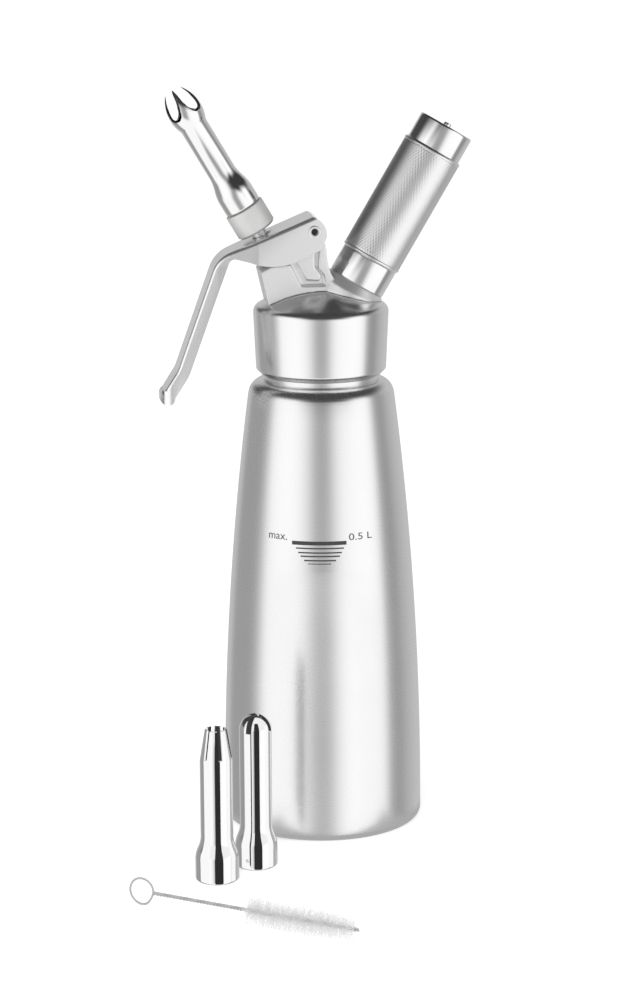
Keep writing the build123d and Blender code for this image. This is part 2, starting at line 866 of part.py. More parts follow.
with BuildPart() as gas_cartridge:
    body_start = cartridge_neck_length + cartridge_shoulder_length
    body_end = cartridge_length - cartridge_radius
    with BuildSketch(section_of(cartridge_line)):
        with BuildLine():
            Polyline(
                (0, cartridge_length),
                (0, pierced_hole_depth),
                (pierced_hole_radius, pierced_hole_depth),
                (pierced_hole_radius, 0),
                (cartridge_neck_radius, 0),
                (cartridge_neck_radius, cartridge_neck_length),
                (cartridge_radius, body_start),
                (cartridge_radius, body_end),
            )
            RadiusArc((cartridge_radius, body_end), (0, cartridge_length), -cartridge_radius)
        make_face()
    revolve(axis=axis_of(cartridge_line))
gas_cartridge.part.label = "gas_cartridge"
export_step(gas_cartridge.part, "parts/gas_cartridge.step")

holder_line = charger_line.offset(boss_end + face_gap)
holder_bore_radius = connector_radius + running_gap
sleeve_end = holder_ring_length + sleeve_length
cap_end = sleeve_end + end_cap_length
tube_end_height = cap_end - end_cap_thickness

holder_tube = turned(
    holder_line,
    (holder_bore_radius, 0),
    (holder_ring_radius, 0),
    (holder_ring_radius, holder_ring_length),
    (holder_tube_radius, holder_ring_length),
    (holder_tube_radius, tube_end_height),
    (holder_bore_radius, tube_end_height),
)
holder_tube.part.label = "holder_tube"
export_step(holder_tube.part, "parts/holder_tube.step")

knurled_sleeve = turned(
    holder_line,
    (holder_tube_radius + set_gap, holder_ring_length),
    (sleeve_radius - sleeve_chamfer, holder_ring_length),
    (sleeve_radius, holder_ring_length + sleeve_chamfer),
    (sleeve_radius, sleeve_end - sleeve_chamfer),
    (sleeve_radius - sleeve_chamfer, sleeve_end),
    (holder_tube_radius + set_gap, sleeve_end),
)
knurled_sleeve.part.label = "knurled_sleeve"
export_step(knurled_sleeve.part, "parts/knurled_sleeve.step")

holder_end_cap = turned(
    holder_line,
    (holder_tube_radius + set_gap, sleeve_end),
    (end_cap_radius, sleeve_end),
    (end_cap_radius, cap_end - end_cap_rounding),
    (end_cap_radius - end_cap_rounding, cap_end),
    (vent_plug_radius + set_gap, cap_end),
    (vent_plug_radius + set_gap, tube_end_height),
    (holder_tube_radius + set_gap, tube_end_height),
)
holder_end_cap.part.label = "holder_end_cap"
export_step(holder_end_cap.part, "parts/holder_end_cap.step")

vent_plug = turned(
    holder_line,
    (0, tube_end_height),
    (vent_plug_radius, tube_end_height),
    (vent_plug_radius, cap_end + vent_plug_rise - vent_plug_chamfer),
    (vent_plug_radius - vent_plug_chamfer, cap_end + vent_plug_rise),
    (0, cap_end + vent_plug_rise),
)
vent_plug.part.label = "vent_plug"
export_step(vent_plug.part, "parts/vent_plug.step")

# ======== nozzles that stand beside the bottle ========
cone_line = standing_line(cone_place, cone_turn)
dome_line = standing_line(dome_place, dome_turn)

with BuildPart() as cone_nozzle:
    cone_start = (cone_tube_radius, cone_height - cone_tip_length)
    cone_bore_start = (cone_tube_radius - spare_wall, cone_height - cone_tip_length)
    with BuildSketch(section_of(cone_line)):
        with BuildLine():
            draw_nozzle_foot(
                cone_base_radius,
                cone_base_height,
                cone_taper_height,
                cone_tube_radius,
                spare_bore_length,
                spare_wall,
                cone_start,
                cone_bore_start,
            )
            Polyline(
                cone_start,
                (cone_tip_radius, cone_height),
                (cone_tip_radius - spare_wall, cone_height),
                cone_bore_start,
            )
        make_face()
    revolve(axis=axis_of(cone_line))
    for pair in range(cone_slot_pairs):
        with BuildSketch(section_of(cone_line, 180 * pair / cone_slot_pairs)):
            with Locations((0, cone_height)):
                Rectangle(cone_slot_width, 2 * cone_slot_depth)
        extrude(amount=cone_base_radius, both=True, mode=Mode.SUBTRACT)
cone_nozzle.part.label = "cone_nozzle"
export_step(cone_nozzle.part, "parts/cone_nozzle.step")

with BuildPart() as dome_nozzle:
    round_start = (dome_tube_radius, dome_nozzle_height - dome_tube_radius)
    round_bore = dome_tube_radius - spare_wall
    with BuildSketch(section_of(dome_line)):
        with BuildLine():
            draw_nozzle_foot(
                dome_base_radius,
                dome_base_height,
                dome_taper_height,
                dome_tube_radius,
                spare_bore_length,
                spare_wall,
                round_start,
                (round_bore, round_start[1]),
            )
            RadiusArc(round_start, (0, dome_nozzle_height), -dome_tube_radius)
            Line((0, dome_nozzle_height), (0, dome_nozzle_height - spare_wall))
            RadiusArc((0, dome_nozzle_height - spare_wall), (round_bore, round_start[1]), round_bore)
        make_face()
    revolve(axis=axis_of(dome_line))
    for pair in range(dome_slot_pairs):
        with BuildSketch(section_of(dome_line, 180 * pair / dome_slot_pairs)):
            with Locations((0, dome_nozzle_height)):
                Rectangle(dome_slot_width, 2 * dome_slot_depth)
        extrude(amount=dome_base_radius, both=True, mode=Mode.SUBTRACT)
    with BuildSketch(section_of(dome_line)):
        with Locations((0, rinse_hole_height)):
            Circle(rinse_hole_radius)
    extrude(amount=dome_base_radius, both=True, mode=Mode.SUBTRACT)
dome_nozzle.part.label = "dome_nozzle"
export_step(dome_nozzle.part, "parts/dome_nozzle.step")

# ======== cleaning brush ========
brush_way = Vector(cos(radians(brush_turn)), sin(radians(brush_turn)), 0)
brush_line = Plane(origin=(*brush_place, brush_ring_radius), x_dir=(0, 0, 1), z_dir=brush_way)

ring_line = Plane(origin=brush_line.origin, x_dir=brush_way, z_dir=brush_way.cross(brush_line.x_dir))

with BuildPart() as brush_wire:
    ring_middle = brush_ring_radius - brush_wire_radius
    with BuildSketch(section_of(ring_line)):
        with Locations((ring_middle, 0)):
            Circle(brush_wire_radius)
    revolve(axis=axis_of(ring_line))
    with BuildSketch(brush_line.offset(ring_middle)):
        Circle(brush_stem_radius)
    extrude(amount=brush_reach - ring_middle)
brush_wire.part.label = "brush_wire"
export_step(brush_wire.part, "parts/brush_wire.step")

bristle_end = bristle_start + bristle_length
brush_bristles = turned(
    brush_line,
    (brush_stem_radius + set_gap, bristle_start),
    (bristle_radius - bristle_rounding, bristle_start),
    (bristle_radius, bristle_start + bristle_rounding),
    (bristle_tip_radius, bristle_end - bristle_rounding),
    (bristle_tip_radius - bristle_rounding, bristle_end),
    (brush_stem_radius + set_gap, bristle_end),
)
brush_bristles.part.label = "brush_bristles"
export_step(brush_bristles.part, "parts/brush_bristles.step")
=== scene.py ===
# %% [markdown]
# # A whipped cream dispenser, piece by piece
#
# The dispenser is a pressed steel bottle with a screwed-on head. The head carries a squeeze
# lever, a leaning nozzle and a holder for a gas cartridge. Two more nozzles and a cleaning brush
# stand and lie beside it. Its solids come from the CAD model, which also says what moves with
# what. This lesson dresses them: each step makes one piece or one finish.

# %% Load the frame
from math import acos, atan2, ceil, cos, degrees, hypot, pi, radians, sin, sqrt, tan

import bmesh
import bpy
from mathutils import Matrix, Vector


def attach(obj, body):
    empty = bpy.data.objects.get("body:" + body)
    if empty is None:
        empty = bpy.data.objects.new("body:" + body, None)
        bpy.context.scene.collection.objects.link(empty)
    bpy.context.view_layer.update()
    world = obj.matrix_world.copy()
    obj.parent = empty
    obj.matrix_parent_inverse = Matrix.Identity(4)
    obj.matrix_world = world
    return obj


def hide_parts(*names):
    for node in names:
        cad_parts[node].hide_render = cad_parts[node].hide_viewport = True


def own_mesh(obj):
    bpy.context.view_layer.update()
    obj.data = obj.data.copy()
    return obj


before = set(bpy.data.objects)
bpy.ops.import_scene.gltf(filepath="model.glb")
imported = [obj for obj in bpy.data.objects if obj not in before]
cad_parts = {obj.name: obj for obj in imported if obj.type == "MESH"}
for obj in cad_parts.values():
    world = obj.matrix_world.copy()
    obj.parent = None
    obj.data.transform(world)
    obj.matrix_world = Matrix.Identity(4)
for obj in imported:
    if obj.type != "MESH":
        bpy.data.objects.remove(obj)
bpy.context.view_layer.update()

MM = 0.001

# %% [markdown]
# ## The camera
#
# The camera comes first, so that each piece can be looked at as soon as it is made. It stands
# 1.2 m away, 8 degrees to the left of the front, and looks down 13 degrees. A long lens keeps
# the upright lines nearly parallel. Three unit vectors (right, up and the way it looks) say how
# it is turned, which is easier to read than three angles. Lengths marked px are in picture
# heights of 1000.

# %% Camera
bearing, dip, roll = radians(8.0), radians(13.0), radians(-0.25)
picture_px, lens_px, aside_px = 1000, 3000.0, 4.1
sensor_height = 36.0
off_axis = atan2(aside_px, lens_px * cos(dip))
eye = Vector((-0.16264, -1.15722, 0.40009))
level_way = Vector((sin(bearing), cos(bearing), 0))
level_right = Vector((cos(bearing), -sin(bearing), 0))
way = level_way * cos(off_axis) - level_right * sin(off_axis)
right = level_right * cos(off_axis) + level_way * sin(off_axis)
look = way * cos(dip) - Vector((0, 0, sin(dip)))
up = Vector((0, 0, cos(dip))) + way * sin(dip)
turned_right = right * cos(roll) + up * sin(roll)
turned_up = up * cos(roll) - right * sin(roll)

camera_data = bpy.data.cameras.new("camera")
camera_data.sensor_fit = "VERTICAL"
camera_data.sensor_height = sensor_height
camera_data.lens = lens_px * sensor_height / picture_px
camera = bpy.data.objects.new("camera", camera_data)
camera_axes = Matrix((turned_right, turned_up, -look)).transposed().to_4x4()
camera.matrix_world = Matrix.Translation(eye) @ camera_axes
bpy.context.scene.collection.objects.link(camera)
bpy.context.scene.camera = camera
print("lens", camera_data.lens, "mm")

# %% [markdown]
# ## Node trees written as sums
#
# Materials and Geometry Nodes are trees of small nodes. Linking each one by hand is slow to read,
# so a socket is wrapped in a small class. An expression such as `1 - mask * 0.4` then adds its
# Math nodes by itself. Any other node comes from `Tree.add`, which takes the node's type, its
# settings, and the values or links of its sockets.

# %% Sockets that can be added and multiplied
class Term:
    """One output socket of a node tree, for use in sums and products."""

    def __init__(self, tree, socket):
        self.tree, self.socket = tree, socket

    def maths(self, operation, *values):
        settings, inputs = {"operation": operation}, dict(enumerate(values))
        return self.tree.add("ShaderNodeMath", settings, inputs)[0]

    def __add__(self, other):
        return self.maths("ADD", self, other)

    def __sub__(self, other):
        return self.maths("SUBTRACT", self, other)

    def __rsub__(self, other):
        return self.maths("SUBTRACT", other, self)

    def __mul__(self, other):
        return self.maths("MULTIPLY", self, other)

    def __truediv__(self, other):
        return self.maths("DIVIDE", self, other)

    __radd__ = __add__
    __rmul__ = __mul__

    def step_up(self, low, high):
        """0 below low, 1 above high, and smooth between them."""
        ramp = self.tree.add(
            "ShaderNodeMapRange", {"interpolation_type": "SMOOTHSTEP"},
            {"Value": self, "From Min": low, "From Max": high},
        )
        return ramp["Result"]


class Tree:
    """A node tree whose method add makes any node."""

    def __init__(self, node_tree):
        self.node_tree = node_tree

    def add(self, kind, settings=None, values=None):
        node = self.node_tree.nodes.new(kind)
        for name, setting in (settings or {}).items():
            setattr(node, name, setting)
        for name, value in (values or {}).items():
            self.join(node.inputs[name], value)
        return Made(self, node)

    def join(self, socket, value):
        if isinstance(value, Term):
            self.node_tree.links.new(value.socket, socket)
        else:
            socket.default_value = value

    def blend(self, share, first, second):
        """A colour between two others."""
        return self.add("ShaderNodeMix", {"data_type": "RGBA"}, {0: share, 6: first, 7: second})[2]


class Made:
    """A node that has been added: its outputs by name or number."""

    def __init__(self, tree, node):
        self.tree, self.node = tree, node

    def __getitem__(self, name):
        return Term(self.tree, self.node.outputs[name])


def empty_tree(owner):
    """The node tree of a material or a world, cleared for new nodes."""
    owner.use_nodes = True
    owner.node_tree.nodes.clear()
    return Tree(owner.node_tree)


print("node helpers ready")

# %% [markdown]
# ## Turned pieces
#
# Most pieces of the dispenser are turned or drawn: bottle, head, nozzles, rings. Each is an
# outline of radius and height that goes once round a centre line. A sphere or cylinder would
# have no lips and no rounded corners, so the outline is written out with a rounding at each
# corner. The mesh is a grid of quads, which reflects far more evenly than the CAD model's
# triangles.

# %% Outlines with rounded corners
def rounded(corners, step=12):
    """Points of a closed outline, with a point for every step degrees of a rounding.

    Each corner is (radius, height) or (radius, height, rounding)."""
    points = []
    for index, corner in enumerate(corners):
        here = Vector(corner[:2])
        if len(corner) < 3:
            points.append(tuple(here))
            continue
        before = Vector(corners[index - 1][:2]) - here
        after = Vector(corners[(index + 1) % len(corners)][:2]) - here
        to_before, to_after = before.normalized(), after.normalized()
        opening = acos(max(-1.0, min(1.0, to_before.dot(to_after))))
        cut = corner[2] / tan(opening / 2)
        middle = here + (to_before + to_after).normalized() * corner[2] / sin(opening / 2)
        start, end = here + to_before * cut - middle, here + to_after * cut - middle
        swept = pi - opening
        count = max(2, ceil(degrees(swept) / step))
        turn = 1 if start.x * end.y - start.y * end.x > 0 else -1
        for number in range(count + 1):
            angle = turn * swept * number / count
            points.append((
                middle.x + start.x * cos(angle) - start.y * sin(angle),
                middle.y + start.x * sin(angle) + start.y * cos(angle),
            ))
    return points


def bow(start, middle, end, count):
    """Points on the arc through three points, without its first one."""
    (ax, ay), (bx, by), (cx, cy) = start, middle, end
    twist = 2 * (ax * (by - cy) + bx * (cy - ay) + cx * (ay - by))
    a2, b2, c2 = ax * ax + ay * ay, bx * bx + by * by, cx * cx + cy * cy
    x = (a2 * (by - cy) + b2 * (cy - ay) + c2 * (ay - by)) / twist
    y = (a2 * (cx - bx) + b2 * (ax - cx) + c2 * (bx - ax)) / twist
    first = atan2(ay - y, ax - x)
    sweep = (atan2(cy - y, cx - x) - first) % (2 * pi)
    if (atan2(by - y, bx - x) - first) % (2 * pi) > sweep:
        sweep -= 2 * pi
    size = hypot(ax - x, ay - y)
    return [
        (x + size * cos(first + sweep * n / count), y + size * sin(first + sweep * n / count))
        for n in range(1, count + 1)
    ]


square = [(0, 0, 1), (4, 0, 1), (4, 4, 1), (0, 4, 1)]
print("a rounded square has", len(rounded(square)), "points")


# %% Centre lines, and the lathe
def centre_line(foot, tilt=0.0, turn=0.0):
    """A frame in millimetres whose z runs along a centre line."""
    leaning = Matrix.Translation(foot) @ Matrix.Rotation(radians(tilt), 4, "Y")
    return leaning @ Matrix.Rotation(radians(turn), 4, "Z")


def lifted(line, height):
    """The same centre line, counted from a point further along it."""
    return line @ Matrix.Translation((0, 0, height))


def as_object(name, data):
    """An object for a mesh, a curve or a text, placed at the origin."""
    piece = bpy.data.objects.new(name, data)
    bpy.context.scene.collection.objects.link(piece)
    return piece


def poured(name, work):
    """An object whose mesh is a finished bmesh, which is then freed."""
    mesh = bpy.data.meshes.new(name)
    work.to_mesh(mesh)
    work.free()
    return as_object(name, mesh)


def shade(mesh, sharp_above=35):
    """Smooth shading, with a crease where faces meet at more than an angle."""
    mesh.shade_smooth()
    mesh.set_sharp_from_angle(angle=radians(sharp_above))


def turned(name, line, outline, steps=96, thread=None):
    """A closed mesh from an outline that goes once round a centre line.

    thread is (radius, start, end, pitch, depth): a groove that winds along a cylinder."""
    tiny = 1e-6
    work = bmesh.new()
    rings = []
    for radius, height in outline:
        if radius < tiny:
            rings.append([work.verts.new((0, 0, height))])
            continue
        ring = []
        for number in range(steps):
            angle = 2 * pi * number / steps
            reach = radius
            if thread and abs(radius - thread[0]) < tiny and thread[1] < height < thread[2]:
                start, end, pitch, depth = thread[1:]
                phase = ((height - start) / pitch - number / steps) % 1.0
                fade = min(1.0, (height - start) / pitch, (end - height) / pitch)
                reach -= depth * fade * (0.5 - 0.5 * cos(2 * pi * phase))
            ring.append(work.verts.new((reach * cos(angle), reach * sin(angle), height)))
        rings.append(ring)
    for ring, following in zip(rings, rings[1:] + rings[:1]):
        for number in range(steps):
            other = (number + 1) % steps
            face = [ring[number % len(ring)], ring[other % len(ring)],
                    following[other % len(following)], following[number % len(following)]]
            face = list(dict.fromkeys(face))
            if len(face) > 2:
                work.faces.new(face)
    bmesh.ops.remove_doubles(work, verts=work.verts, dist=1e-5)
    bmesh.ops.recalc_face_normals(work, faces=work.faces)
    work.transform(Matrix.Scale(MM, 4) @ line)
    piece = poured(name, work)
    shade(piece.data)
    return piece


upright_line = centre_line((0, 0, 0))
valve_line = centre_line((0, 0, 197.4), -30.7)
charger_line = centre_line((0, 0, 193.6), 30.45)
print("valve line", [round(v, 4) for v in valve_line.col[2]])

# %% [markdown]
# ## Bottle and head
#
# The bottle is drawn from one sheet: a recessed foot, a long side that bows inwards, a rounded
# shoulder and a rolled neck with a thread. The head is a thick steel cap with a domed top. Both
# are round, so both are turned. The bow of the side is an arc that starts upright at the foot,
# which is why its radius follows from how far it draws in. The neck's outline has many points,
# so that a thread can wind through them.

# %% Sizes of the bottle, and its bowed side
bottle_radius, widest_height, wall = 39.8, 6.0, 1.0
foot_recess, floor_height = 2.0, 3.2
shoulder_radius, shoulder_height = 28.2, 180.0
neck_radius, neck_bore, mouth_height, lip = 22.6, 20.6, 200.0, 0.5
neck_thread_start, neck_thread_end, neck_pitch, neck_thread_depth = 184.0, 198.6, 4.0, 0.8

# A side is its widest radius and the height of that, then its narrow radius and its top.
outer_side = (bottle_radius, widest_height, shoulder_radius, shoulder_height)
inner_side = (bottle_radius - wall, 7.2, shoulder_radius - wall, shoulder_height - wall)


def side_radius(height, wide, foot, narrow, top):
    """Radius of a side that leaves the foot upright and bows in to a narrow top."""
    size = ((wide - narrow) ** 2 + (top - foot) ** 2) / (2 * (wide - narrow))
    return wide - size + sqrt(size ** 2 - (height - foot) ** 2)


def bowed_side(side, stop, count=24):
    """Points up such a side, from its widest height to a stop."""
    foot = side[1]
    heights = [foot + (stop - foot) * n / count for n in range(count + 1)]
    return [(side_radius(height, *side), height) for height in heights]


def thread_rows(radius, start, end, rows):
    """Points up a cylinder, close enough together to carry a thread."""
    return [(radius, start + (end - start) * n / rows) for n in range(rows + 1)]


print("half-way up the radius is", round(side_radius(mouth_height / 2, *outer_side), 2), "mm")

# %% Bottle
wide_steps = 192
outer_stop, inner_stop = 174.2, 173.5      # where the side goes over into the shoulder
bottle = turned(
    "bottle_shell", upright_line,
    rounded([
        (0, foot_recess), (31.0, foot_recess, 0.9), (33.0, 0, 0.7), (bottle_radius, 0, 3.0),
        (bottle_radius, widest_height),
    ], 8)[:-1]
    + bowed_side(outer_side, outer_stop)
    + rounded([
        (28.9, outer_stop), (shoulder_radius, shoulder_height, 6.1),
        (neck_radius, shoulder_height), (neck_radius, mouth_height),
    ], 6)[1:-1]
    + thread_rows(neck_radius, neck_thread_start - 1.0, neck_thread_end + 0.2, 56)
    + rounded([
        (neck_radius, neck_thread_end), (neck_radius, mouth_height, lip),
        (neck_bore, mouth_height, lip), (neck_bore, neck_thread_end),
    ])[1:-1]
    + rounded([
        (neck_bore, mouth_height), (neck_bore, shoulder_height - wall, 0.8),
        (shoulder_radius - wall, shoulder_height - wall, 5.1), (28.1, 173.0),
    ], 8)[1:-1]
    + bowed_side(inner_side, inner_stop)[::-1]
    + rounded([
        (bottle_radius - wall, 9.0), (bottle_radius - wall, floor_height, 4.0), (0, floor_height),
    ], 10)[1:],
    steps=wide_steps,
    thread=(neck_radius, neck_thread_start, neck_thread_end, neck_pitch, neck_thread_depth),
)
print("bottle", len(bottle.data.polygons), "faces")

# %% Head
dome_radius, inner_dome_radius, dome_centre = 49.5, 47.0, 167.1
head_bottom, head_shelf, head_bore, head_room = 182.0, 202.0, 22.65, 20.0
skirt_radius, skirt_chamfer, rim_radius, rim_rounding, dome_edge = 25.7, 2.3, 26.8, 3.5, 24.6


def dome(radius, size):
    """The point of a dome of a given size at a distance from the axis."""
    return radius, dome_centre + sqrt(size ** 2 - radius ** 2)


head = turned(
    "head_shell", upright_line,
    rounded([
        (head_room, head_shelf), (head_bore, head_shelf), (head_bore, head_bottom, 0.3),
        (skirt_radius - skirt_chamfer, head_bottom, 0.4),
        (skirt_radius, head_bottom + skirt_chamfer, 0.8),
        dome(rim_radius, dome_radius) + (rim_rounding,), dome(dome_edge, dome_radius),
    ], 6)
    + [dome(dome_edge * (1 - n / 16), dome_radius) for n in range(1, 17)]
    + [dome(head_room * n / 12, inner_dome_radius) for n in range(13)],
    steps=wide_steps,
)
print("head", len(head.data.polygons), "faces")

# %% [markdown]
# ## Nozzle adapter, cartridge holder and pin
#
# These are bar-turned, with small roundings where a file or a polishing wheel has taken the
# edge off. They stand on leaning centre lines, so the same outline function is used with another
# frame.

# %% Adapter
stem_bore, adapter_radius, adapter_chamfer = 2.92, 7.95, 0.9
adapter_start, adapter_end, stub_end = 48.9, 59.1, 65.5
stub_radius, stub_chamfer, stub_pitch, stub_thread_depth = 4.6, 0.7, 1.25, 0.35
stub_thread_start, stub_thread_end = 59.4, 64.4
adapter = turned(
    "adapter_ring", valve_line,
    rounded([
        (stem_bore, adapter_start, 0.1),
        (adapter_radius - adapter_chamfer, adapter_start, 0.35),
        (adapter_radius, adapter_start + adapter_chamfer, 0.35),
        (adapter_radius, adapter_end, 0.3), (stub_radius, adapter_end),
    ])
    + thread_rows(stub_radius, stub_thread_start - 0.1, stub_thread_end + 0.1, 48)
    + rounded([
        (stub_radius, stub_thread_start), (stub_radius, stub_end - stub_chamfer, 0.2),
        (stub_radius - stub_chamfer, stub_end, 0.2), (stem_bore, stub_end),
    ])[1:],
    thread=(stub_radius, stub_thread_start, stub_thread_end, stub_pitch, stub_thread_depth),
)
print("adapter", len(adapter.data.polygons), "faces")

# %% Holder ring, end cap, nub and pin
holder_line = lifted(charger_line, 28.05)
tube_bore, tube_radius, ring_radius, cap_radius, nub_radius = 9.35, 10.4, 11.6, 11.2, 1.5
sleeve_start, sleeve_end, tube_end, cap_end, nub_end = 10.9, 60.1, 68.0, 70.6, 71.8
slip, cap_dish = 0.02, 0.3
holder_ring = turned(
    "holder_ring", holder_line,
    rounded([
        (tube_bore, 0, 0.2), (ring_radius, 0, 0.4), (ring_radius, sleeve_start, 0.35),
        (tube_radius, sleeve_start), (tube_radius, tube_end), (tube_bore, tube_end),
    ]),
)
holder_cap = turned(
    "holder_cap", holder_line,
    rounded([
        (tube_radius + slip, sleeve_end), (cap_radius, sleeve_end, 0.25),
        (cap_radius, cap_end, 0.8), (9.4, cap_end, 0.3), (9.0, cap_end - cap_dish, 0.3),
        (nub_radius + slip, cap_end - cap_dish), (nub_radius + slip, tube_end),
        (tube_radius + slip, tube_end),
    ], 9),
)
vent_nub = turned(
    "vent_nub", holder_line,
    rounded([(0, tube_end), (nub_radius, tube_end), (nub_radius, nub_end, 0.5), (0, nub_end)]), 32,
)

pivot = Vector((-3.8, 0, 239.6))
pin_radius, pin_head_radius, pin_back, pin_head_start, pin_head_end = 1.9, 2.35, -11.9, 10.8, 11.5
recess_radius, recess_floor = 1.5, 10.6
pin_line = Matrix.Translation(pivot) @ Matrix.Rotation(radians(90), 4, "X")
hinge_pin = turned(
    "hinge_pin", pin_line,
    rounded([
        (0, pin_back), (pin_radius, pin_back, 0.3), (pin_radius, pin_head_start),
        (pin_head_radius, pin_head_start, 0.1), (pin_head_radius, pin_head_end, 0.3),
        (recess_radius, pin_head_end, 0.15), (1.35, recess_floor, 0.1), (0, recess_floor),
    ]),
    48,
)
print("turned", [piece.name for piece in (holder_ring, holder_cap, vent_nub, hinge_pin)])

# %% [markdown]
# ## Nozzles
#
# A nozzle is a turned tube whose tip is sawn into teeth. The turned part comes from the lathe,
# and each saw cut is a block that the Boolean modifier takes away. The cuts could be left to the
# CAD mesh, but its long thin triangles make a mirror finish ripple.

# %% Blocks and saw cuts
def block(line, outline, half_depth, turn):
    """A solid from an outline (across, height), pushed both ways through a centre line."""
    work = bmesh.new()
    c, s = cos(radians(turn)), sin(radians(turn))
    near, far = (
        [work.verts.new((x * c - depth * s, x * s + depth * c, z)) for x, z in outline]
        for depth in (-half_depth, half_depth)
    )
    work.faces.new(near)
    work.faces.new(far[::-1])
    for n in range(len(outline)):
        other = (n + 1) % len(outline)
        work.faces.new((near[n], far[n], far[other], near[other]))
    bmesh.ops.recalc_face_normals(work, faces=work.faces)
    work.transform(Matrix.Scale(MM, 4) @ line)
    return poured("cut", work)


def plain_mesh(piece):
    """The mesh that an object's modifiers, curve or text come to."""
    graph = bpy.context.evaluated_depsgraph_get()
    return bpy.data.meshes.new_from_object(piece.evaluated_get(graph))


def settle(piece):
    """Turns a piece's modifiers into plain mesh."""
    mesh = plain_mesh(piece)
    piece.modifiers.clear()
    old, piece.data = piece.data, mesh
    mesh.name = piece.name
    if old.users == 0:
        bpy.data.meshes.remove(old)


def saw(piece, cuts):
    """Takes solids away from a piece."""
    for cut in cuts:
        modifier = piece.modifiers.new("saw", "BOOLEAN")
        modifier.operation, modifier.solver, modifier.object = "DIFFERENCE", "EXACT", cut
    settle(piece)
    for cut in cuts:
        bpy.data.objects.remove(cut)
    shade(piece.data)


def slot(width, low, high):
    """The outline of a straight saw cut."""
    return [(-width / 2, low), (width / 2, low), (width / 2, high), (-width / 2, high)]


def arc_points(radius, height, start, sweep, count):
    """Points on an arc round (0, height), with both of its ends."""
    angles = [start + sweep * n / count for n in range(count + 1)]
    return [(radius * cos(angle), height + radius * sin(angle)) for angle in angles]


print("a round hole is cut with", len(arc_points(1, 0, 0, 2 * pi, 16)) - 1, "sides")

# %% [markdown]
# The nozzle on the head has a tulip's shape: a tube, a bulge and four claws that bend inwards.
# Its foot eases into the tube in a long sweep. The notches between the claws start as half a
# circle, widen a little, and close in again towards the tips.

# %% Tulip nozzle
nozzle_steps, cut_reach = 128, 8.0
thread_bore = 4.65


def nozzle_foot(base, base_top, taper_top, tube, bore_top, bore, ease=10.0):
    """Outline of a nozzle from the top of its bore, down, round its foot and up its taper.

    ease is the rounding at both ends of the taper."""
    return rounded([
        (bore, bore_top + 4), (bore, bore_top), (thread_bore, bore_top), (thread_bore, 0, 0.25),
        (base, 0, 1.1), (base, base_top, ease), (tube, taper_top, ease), (tube, taper_top + 6),
    ], 3)


tulip_line = lifted(valve_line, 59.15)
tulip_tube, tulip_bore, tulip_tube_end = 5.45, 4.35, 37.5
bulge_radius, bulge_inside, bulge_height = 6.8, 5.7, 44.0
tulip_tube_top, tulip_bore_top = (tulip_tube, tulip_tube_end), (tulip_bore, tulip_tube_end)
tip_outside, tip_inside = (3.5, 52.9), (2.4, 52.8)
tulip = turned(
    "tulip_spout", tulip_line,
    nozzle_foot(7.3, 8.1, 14.6, tulip_tube, 7.65, tulip_bore, 15.0)
    + [tulip_tube_top]
    + bow(tulip_tube_top, (bulge_radius, bulge_height), tip_outside, 20)
    + [(3.2, 53.0), (2.6, 53.0), tip_inside]
    + bow(tip_inside, (bulge_inside, bulge_height), tulip_bore_top, 16),
    steps=nozzle_steps,
)
notch_radius, notch_centre, notch_top = 3.3, 45.4, (2.4, 54.5)
notch_side = [
    (3.5, 46.2), (3.6, 47.0), (3.6, 48.0), (3.5, 48.8), (3.34, 49.6), (3.08, 50.6), (2.8, 51.5),
    (2.54, 52.4), (2.4, 53.0), notch_top,
]
claw_notch = (
    arc_points(notch_radius, notch_centre, pi, pi, 16)
    + notch_side + [(-x, height) for x, height in notch_side[::-1]]
)
saw(tulip, [block(tulip_line, claw_notch, cut_reach, turn) for turn in (45, 135)])
print("tulip", len(tulip.data.polygons), "faces")

# %% [markdown]
# The two nozzles beside the bottle share one tube. One ends in a cone with three saw cuts, which
# leave six teeth. The other ends in a dome with two crossing cuts, and has a small rinse hole
# near its foot.

# %% Two spare nozzles
spare_tube, spare_bore, spare_bore_top = 6.25, 5.25, 7.7
cone_line = centre_line((-51.3, -73.9, 0), 0, 11.0)
cone_shoulder, cone_top, cone_tip, cone_mouth = 47.6, 60.0, 4.2, 3.2
cone = turned(
    "cone_spout", cone_line,
    nozzle_foot(8.4, 10.5, 15.5, spare_tube, spare_bore_top, spare_bore)
    + rounded([
        (spare_tube, 30.0), (spare_tube, cone_shoulder, 1.5), (cone_tip, cone_top, 0.3),
        (cone_mouth, cone_top, 0.3), (spare_bore, cone_shoulder), (spare_bore, 30.0),
    ], 6),
    steps=nozzle_steps,
)
cone_slot = slot(1.5, 48.8, 62.0)
saw(cone, [block(cone_line, cone_slot, cut_reach, turn) for turn in (0, 60, 120)])

dome_line = centre_line((-34.6, -60.2, 0), 0, -31.5)
dome_start = 54.75
dome_nozzle = turned(
    "dome_spout", dome_line,
    nozzle_foot(8.2, 10.0, 15.0, spare_tube, spare_bore_top, spare_bore)
    + [(spare_tube, 35.0)]
    + arc_points(spare_tube, dome_start, 0, pi / 2, 16)
    + arc_points(spare_bore, dome_start, 0, pi / 2, 16)[::-1]
    + [(spare_bore, 35.0)],
    steps=nozzle_steps,
)
dome_slot, rinse_hole = slot(2.2, 54.5, 63.0), arc_points(0.7, 4.0, 0, 2 * pi, 16)[:-1]
dome_cuts = [block(dome_line, dome_slot, cut_reach, turn) for turn in (0, 90)]
saw(dome_nozzle, dome_cuts + [block(dome_line, rinse_hole, 9.0, 0)])
print("spare nozzles", [len(piece.data.polygons) for piece in (cone, dome_nozzle)], "faces")

